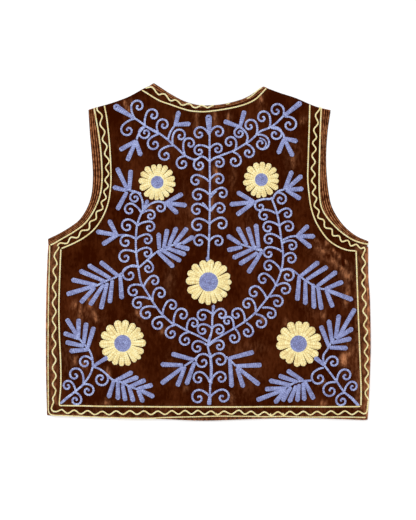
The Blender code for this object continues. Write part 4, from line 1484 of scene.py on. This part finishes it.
@dataclass
class ChainStitch:
    """Carries a row of chain stitches along each line.

    The cross-section has two rounded strands with a groove between them. Along a row it swells and
    sinks once per stitch, and its groove lags behind its edges, so that the stitches form a row of V's.
    Its first and last stations taper, and over its last stitches it may swell to a knob. The two strands
    of a stitch have their own light, between the two uneven factors. The stitches are made lighter
    towards the left shoulder and darker towards the hem's right corner.
    """

    lie: Lie
    pitch: float = 0.0030
    height: float = 0.0014
    lag: float = 0.34
    buried: float = 0.0003
    ramp: float = 0.09
    ramp_run: float = 0.30
    seed: int = 7
    knob_run: float = 1.4
    uneven: tuple[float, float] = (0.38, 1.34)
    taper: Sequence[tuple[int, float]] = (
        # station, share of its width and height
        (0, 0.5), (-1, 0.5), (1, 0.9), (-2, 0.9),
    )
    section: Table = (
        # across, up, shade: painted shade in the groove and at the foot, painted highlight on the crests
        (-1.0, 0.0, 0.05), (-0.86, 0.66, 0.5), (-0.46, 1.0, 0.85), (0.0, 0.66, 0.22),
        (0.46, 1.0, 0.85), (0.86, 0.66, 0.5), (1.0, 0.0, 0.05),
    )
    swell: Table = (
        # width, height, shade at the four stations of a stitch
        (0.86, 0.66, 0.45), (0.98, 0.96, 0.95), (1.04, 1.0, 1.05), (0.96, 0.88, 0.85),
    )

    def build(self, name: str, rows: Sequence[Row], bright: float) -> bpy.types.Object:
        """Makes one piece of many rows.

        Args:
            name: The piece's name.
            rows: The rows of stitches.
            bright: Factor on the stitches' shade.

        Returns:
            The piece, its vertices carrying a shade.
        """
        draw = np.random.default_rng(self.seed)
        across, up, tone = np.array(self.section).T
        swell = np.array(self.swell)
        count = len(across)
        points, shades, quads, caps = [], [], [], []
        start = 0
        for row in rows:
            stitches = max(2, int(round(lengths(row.line)[-1] / self.pitch)))
            stations = 4 * stitches + 1
            centre = at_shares(row.line, even(stations - 1))
            run, left = run_and_left(centre)
            wide, high, light = swell[np.arange(stations) % 4].T.copy()
            to_end = (1 - even(stations - 1)) * lengths(row.line)[-1]
            wide *= 1 + (row.knob - 1) * soft_step(self.knob_run - to_end / self.pitch)
            for station, share in self.taper:
                wide[station] *= share
                high[station] *= share
            side = across * row.width / 2
            xy = centre[:, None] + left[:, None] * (side * wide[:, None])[..., None]
            back = -self.lag * self.pitch * (1 - np.abs(across))
            xy = xy + run[:, None] * back[None, :, None]
            z = self.lie.top(xy) - self.buried + row.raised
            z = z + (self.height + self.buried) * up[None] * high[:, None]
            points.append(with_height(xy, z).reshape(-1, 3))
            each = np.repeat(draw.uniform(*self.uneven, (stitches + 1, 2)), 4, axis=0)[:stations]
            each = each[:, 0, None] + (each[:, 1] - each[:, 0])[:, None] * (across + 1)[None] / 2
            # lighter towards the upper left and darker towards the lower right
            upper_left_lighter = 1 + self.ramp * np.clip((xy[..., 1] - xy[..., 0]) / self.ramp_run, -1, 1)
            shades.append((tone[None] * light[:, None] * each * upper_left_lighter * bright).reshape(-1))
            sides, ends = tube_faces(stations, count, start)
            quads.append(sides)
            caps.append(ends)
            start += stations * count
        piece = new_piece(name, np.vstack(points), [np.vstack(quads), np.vstack(caps)])
        add_values(piece, "shade", np.concatenate(shades))
        return piece


def scroll(root: Array, eye: Array, radius: float, turn: Turn) -> Array:
    """A line from a stem that winds round an eye.

    Its distance from the eye falls as the table SCROLL says, and over the first quarter it starts from
    the root's own distance: what that differs by counts (1 - q)³ at quarter q. After the fourth quarter
    it crosses the eye and ends just beyond, so that its knob covers the eye.

    Args:
        root: Where it leaves its stem.
        eye: The centre that it winds to.
        radius: Its outer radius.
        turn: Which way it winds.

    Returns:
        Its points.
    """
    quarters, shares = np.array(SCROLL).T
    q = np.linspace(0, quarters[-1], SCROLL_POINTS)
    near = np.pad(np.interp(q, quarters, shares), SCROLL_SMOOTHING // 2, mode="edge")
    share = np.convolve(near, np.full(SCROLL_SMOOTHING, 1 / SCROLL_SMOOTHING), mode="valid")
    from_eye = root - eye
    distance = np.linalg.norm(from_eye)
    r = share * radius + (distance - shares[0] * radius) * np.clip(1 - q, 0, 1) ** 3
    angle = np.arctan2(from_eye[1], from_eye[0]) + turn.value * q * np.pi / 2
    return eye + np.stack((np.cos(angle), np.sin(angle)), axis=1) * r[:, None]


def finger(base: Array, tip: Array, base_gap: float, tip_gap: float) -> Array:
    """A long U: out along one side, round the tip in a half circle, and back along the other side.

    Args:
        base: Middle of its open end.
        tip: Its far end.
        base_gap: Half the distance between its sides at the base.
        tip_gap: Half the distance at the tip, which is the half circle's radius.

    Returns:
        Its points.
    """
    axis = tip - base
    length = np.linalg.norm(axis)
    axis = axis / length
    side = np.array((-axis[1], axis[0]))
    forward = even(FINGER_STEPS) * (length - tip_gap)
    gap = base_gap + (tip_gap - base_gap) * even(FINGER_STEPS)
    round_tip = np.linspace(np.pi / 2, -np.pi / 2, FINGER_TIP_STEPS)[1:-1]
    out = np.concatenate((forward, length - tip_gap + tip_gap * np.cos(round_tip), forward[::-1]))
    off = np.concatenate((gap, tip_gap * np.sin(round_tip), -gap[::-1]))
    return base + axis * out[:, None] + side * off[:, None]


def wave(midline: Table, height: float) -> Array:
    """A line that swings from side to side of a midline by a cosine of the number of swings.

    Args:
        midline: Its points as x, y and the number of swings made there, which counts on evenly between.
        height: How far it swings to each side.

    Returns:
        Its points.
    """
    x, y, swings = np.asarray(midline, float).T
    points = on_grid(np.column_stack((x, y)))
    line = smooth_line(points)
    along = lengths(line)
    marks = [along[np.argmin(np.hypot(*(line - point).T))] for point in points]
    even_line = at_shares(line, even(int(along[-1] / WAVE_STEP)))
    _, side = run_and_left(even_line)
    count = np.interp(lengths(even_line), marks, swings)
    return even_line + side * (height * np.cos(2 * np.pi * count))[:, None]


@dataclass
class Vines:
    """The blue stems and the scrolls that grow from them."""

    stem_width: float = 0.0031
    scroll_width: float = 0.0031
    second_width: float = 0.0023
    knob: float = 1.45
    stem_lift: float = 0.0001
    scroll_lift: float = 0.00004

    def rows(self) -> list[Row]:
        """Every stem and scroll as a row of stitches."""
        made = [Row(grid_line(stem), self.stem_width, self.stem_lift) for stem in STEMS]
        made += [Row(grid_line(line), self.second_width) for line in SECOND_ROWS]
        for turn, table in ((Turn.CLOCKWISE, CLOCKWISE_SCROLLS), (Turn.ANTICLOCKWISE, ANTICLOCKWISE_SCROLLS)):
            for number, (root_x, root_y, eye_x, eye_y, radius) in enumerate(table):
                line = scroll(on_grid((root_x, root_y)), on_grid((eye_x, eye_y)), radius * UNIT, turn)
                made.append(Row(line, self.scroll_width, self.scroll_lift * (number % 3), self.knob))
        return made


@dataclass
class Leaves:
    """The blue fingers of the sprays and fronds, each a U of one row filled between its sides."""

    row_width: float = 0.0035
    half_gap: float = 0.0018
    base_gap: float = 0.0010
    least_gap: float = 0.0004
    finger_lift: float = 0.0002
    next_lift: float = 0.00012
    bud_lift: float = 0.0004
    middle_lift: float = 0.0001
    middle_from: float = 0.42
    middle_short: float = 0.9
    middle_width: float = 2.3

    def loops(self, base: Array, tip: Array, base_half: float, tip_half: float, raised: float) -> list[Row]:
        """A finger's U, and a middle row where its sides leave a gap.

        The middle row is there from a tip gap of a share of the row's width, and its own width and how
        far it ends short of the tip are counted in tip gaps.

        Args:
            base: Its start.
            tip: Its outermost point.
            base_half: Half its width at the base.
            tip_half: Half its width at the tip.
            raised: How far the rows are raised.

        Returns:
            The rows.
        """
        half_row = self.row_width / 2
        tip_gap = tip_half - half_row
        inner_tip = tip - (tip - base) / np.linalg.norm(tip - base) * half_row
        line = finger(base, inner_tip, max(base_half - half_row, self.least_gap), tip_gap)
        made = [Row(line, self.row_width, raised)]
        if tip_gap > self.row_width * self.middle_from:
            length = np.linalg.norm(inner_tip - base)
            end = base + (inner_tip - base) * (1 - self.middle_short * tip_gap / length)
            width = min(self.row_width, self.middle_width * tip_gap)
            made.append(Row(straight(base, end), width, raised + self.middle_lift))
        return made

    def rows(self) -> list[Row]:
        """Every finger and bud as rows of stitches."""
        made = []
        half = self.half_gap + self.row_width / 2
        base_half = self.base_gap + self.row_width / 2
        for number, (base_x, base_y, tip_x, tip_y) in enumerate(FINGERS):
            raised = self.finger_lift + self.next_lift * (number % 4)
            made += self.loops(on_grid((base_x, base_y)), on_grid((tip_x, tip_y)), base_half, half, raised)
        for base_x, base_y, tip_x, tip_y, base_half_width, tip_half_width in BUDS:
            base, tip = on_grid((base_x, base_y)), on_grid((tip_x, tip_y))
            made += self.loops(base, tip, base_half_width * UNIT, tip_half_width * UNIT, self.bud_lift)
        return made


@dataclass
class Daisies:
    """Five daisies: a ring of cream petals round a blue centre, worked from the middle outwards.

    The uneven reach, how far in from its tip a petal is widest, and how far its base reaches into the
    centre are in units of the layout grid.
    """

    row_width: float = 0.0034
    fill: float = 0.93
    seed: int = 3
    uneven: tuple[float, float] = (-0.9, 0.3)
    widest: float = 3.3
    overlap: float = 0.9
    base_spread: float = 1.10
    least_gap: float = 0.0006
    least_base_gap: float = 0.0004
    petal_lift: float = 0.0001
    next_lift: float = 0.00012
    middle_lift: float = 0.00025
    middle_short: float = 0.78
    centre_spacing: float = 0.0027
    centre_start: float = 0.0006
    centre_lift: float = 0.0006
    points_a_turn: int = 60

    def petals(self) -> list[Row]:
        """The rows of every petal: a U as wide as the space between its neighbours, and its middle."""
        made = []
        draw = np.random.default_rng(self.seed)
        for (x, y, outer, inner), degrees in FLOWERS:
            centre = on_grid((x, y))
            around = np.radians(np.array(degrees, float))
            back = np.mod(np.roll(around, 1) - around, 2 * np.pi)
            space = (back + np.roll(back, -1)) / 2
            for number, (angle, wide) in enumerate(zip(around, space)):
                out = np.array((np.cos(angle), np.sin(angle)))
                reach = (outer + draw.uniform(*self.uneven)) * UNIT
                full = wide * (outer - self.widest) * UNIT * self.fill
                near = wide * inner * UNIT * self.base_spread
                gap = max((full - self.row_width) / 2, self.least_gap)
                base_gap = max((near - self.row_width) / 2, self.least_base_gap)
                base = centre + out * (inner - self.overlap) * UNIT
                tip = centre + out * (reach - self.row_width / 2)
                raised = self.petal_lift + self.next_lift * (number % 2)
                made.append(Row(finger(base, tip, base_gap, gap), self.row_width, raised))
                end = centre + out * (reach - self.row_width * self.middle_short)
                made.append(Row(straight(base, end), 2.0 * gap, raised + self.middle_lift))
        return made

    def centres(self) -> list[Row]:
        """A row that winds outwards from each daisy's middle, its distance growing evenly with its turn."""
        made = []
        for (x, y, _, inner), _ in FLOWERS:
            radius = inner * UNIT - self.row_width / 2
            turns = radius / self.centre_spacing
            turn = np.linspace(0, 2 * np.pi * turns, int(self.points_a_turn * turns))
            r = self.centre_start + (radius - self.centre_start) * turn / turn[-1]
            around = np.linspace(0, 2 * np.pi, self.points_a_turn)
            line = np.stack((np.cos(turn), np.sin(turn)), axis=1) * r[:, None]
            ring = np.stack((np.cos(around + turn[-1]), np.sin(around + turn[-1])), axis=1) * radius
            whole = on_grid((x, y)) + np.vstack((line, ring[1:]))
            made.append(Row(whole, self.row_width, self.centre_lift))
        return made


@dataclass
class Borders:
    """The cream lines round the back and the waves between them."""

    width: float = 0.0021
    edge_width: float = 0.0017
    wave_width: float = 0.0022
    wave_height: float = 0.0025
    wave_lift: float = 0.00005
    neck_lift: float = 0.0003
    bit_lift: float = 0.0004
    bit_share: float = 0.8

    def rows(self) -> list[Row]:
        """Every line and wave as a row of stitches."""
        made = [Row(grid_line(line), self.width) for line in BORDER_LINES]
        made += [Row(grid_line(line), self.edge_width) for line in EDGE_LINES]
        made.append(Row(grid_line(NECK_WAVE), self.wave_width, self.neck_lift))
        made += [Row(grid_line(line), self.wave_width * self.bit_share, self.bit_lift) for line in NECK_BITS]
        made += [Row(grid_line(line), self.wave_width, self.wave_lift) for line in WAVE_LINKS]
        made += [Row(wave(line, self.wave_height), self.wave_width, self.wave_lift) for line in WAVES]
        return made


# Studio


@dataclass(frozen=True)
class Studio:
    """A plain white floor, even soft light and a camera straight above the waistcoat."""

    middle: tuple[float, float] = (-0.0007, -0.0117)
    picture_height: float = 0.752
    lens: float = 85.0
    sensor: float = 36.0
    cloth_level: float = 0.005
    floor_half: float = 4.0
    floor_white: float = 0.88
    floor_glow: float = 0.30
    sky: float = 0.80
    key: float = 1.15
    key_spread: float = 28
    key_tilt: tuple[float, float] = (-38, -26)

    def floor(self) -> None:
        """A large white floor under the waistcoat."""
        corners = np.array(((-1, -1, 0), (1, -1, 0), (1, 1, 0), (-1, 1, 0))) * self.floor_half
        floor = new_piece("floor", corners, [np.array([[0, 1, 2, 3]])], smooth=False)
        graph = Graph("white_paper")
        graph.shader.inputs["Base Color"].default_value = grey(self.floor_white)
        graph.shader.inputs["Roughness"].default_value = 0.9
        graph.shader.inputs["Specular IOR Level"].default_value = 0.1
        graph.shader.inputs["Emission Color"].default_value = grey(1.0)
        graph.shader.inputs["Emission Strength"].default_value = self.floor_glow
        floor.data.materials.append(graph.material)

    def lights(self) -> None:
        """An even white sky, and a soft key light from the upper left."""
        scene = bpy.context.scene
        scene.world = bpy.data.worlds.new("soft_studio")
        scene.world.use_nodes = True
        background = scene.world.node_tree.nodes["Background"]
        background.inputs["Color"].default_value = grey(1.0)
        background.inputs["Strength"].default_value = self.sky
        sun = bpy.data.lights.new("key", "SUN")
        sun.energy = self.key
        sun.angle = np.radians(self.key_spread)
        key = bpy.data.objects.new("key", sun)
        key.rotation_euler = (*np.radians(self.key_tilt), 0)
        scene.collection.objects.link(key)
        scene.view_settings.view_transform = "Standard"

    def camera(self) -> None:
        """A camera that looks straight down; its distance is the picture's height times lens over sensor."""
        data = bpy.data.cameras.new("camera")
        data.lens = self.lens
        data.sensor_width = self.sensor
        data.clip_end = 20
        camera = bpy.data.objects.new("camera", data)
        distance = self.picture_height * self.lens / self.sensor
        camera.location = (*self.middle, self.cloth_level + distance)
        bpy.context.scene.collection.objects.link(camera)
        bpy.context.scene.camera = camera


def main() -> None:
    """Builds the cloth, the embroidery and the studio, in that order."""
    logging.basicConfig(level=logging.INFO, format="%(message)s")
    lie = Lie()
    pile, band_pile = PILE.material(), BAND_PILE.material()
    blue, cream = BLUE.material(), CREAM.material()

    back = BackPanel(lie)
    velvet_back = back.build()
    back.dress(velvet_back, pile)
    for side in (-1, 1):
        front = Front(side)
        panel = front.build()
        front.dress(panel, pile)
        area = half_area(panel)
        hidden = FrontBand(front)
        strip = hidden.build()
        hidden.dress(strip, band_pile)
        half_area(strip)
        if side > 0:
            roll = front.build_roll()
            finish(roll, pile)

    bands = []
    for name, node, table, ribs, sunk, rows in (
        # ribs across, whether its edge lies sunk like the sides, rows along it
        ("armhole_trim_left", "armhole_band_left", ARMHOLE_LEFT, 4, True, 170),
        ("armhole_trim_right", "armhole_band_right", ARMHOLE_RIGHT, 4, True, 170),
        ("neck_trim", "neck_band", NECK, 2, False, 110),
    ):
        band = Band(lie, name, node, table, ribs, sunk, rows, rim=2)
        strip = band.build()
        band.dress(strip, band_pile)
        half_area(strip)
        bands.append(strip)

    stitch = ChainStitch(lie)
    daisies = Daisies()
    for name, rows, material, slot, bright in (
        # the last column is the factor on the stitches' shade
        ("blue_vines", Vines().rows(), blue, "blue_thread", 1.32),
        ("blue_leaves", Leaves().rows(), blue, "blue_thread", 0.86),
        ("daisy_petals", daisies.petals(), cream, "cream_thread", 1.0),
        ("daisy_centres", daisies.centres(), blue, "blue_thread", 0.74),
        ("cream_borders", Borders().rows(), cream, "cream_thread", 1.25),
    ):
        piece = stitch.build(name, rows, bright)
        finish(piece, material)
    area = half_area(velvet_back)

    studio = Studio()
    studio.floor()
    studio.lights()
    studio.camera()


if __name__ == "__main__":
    main()
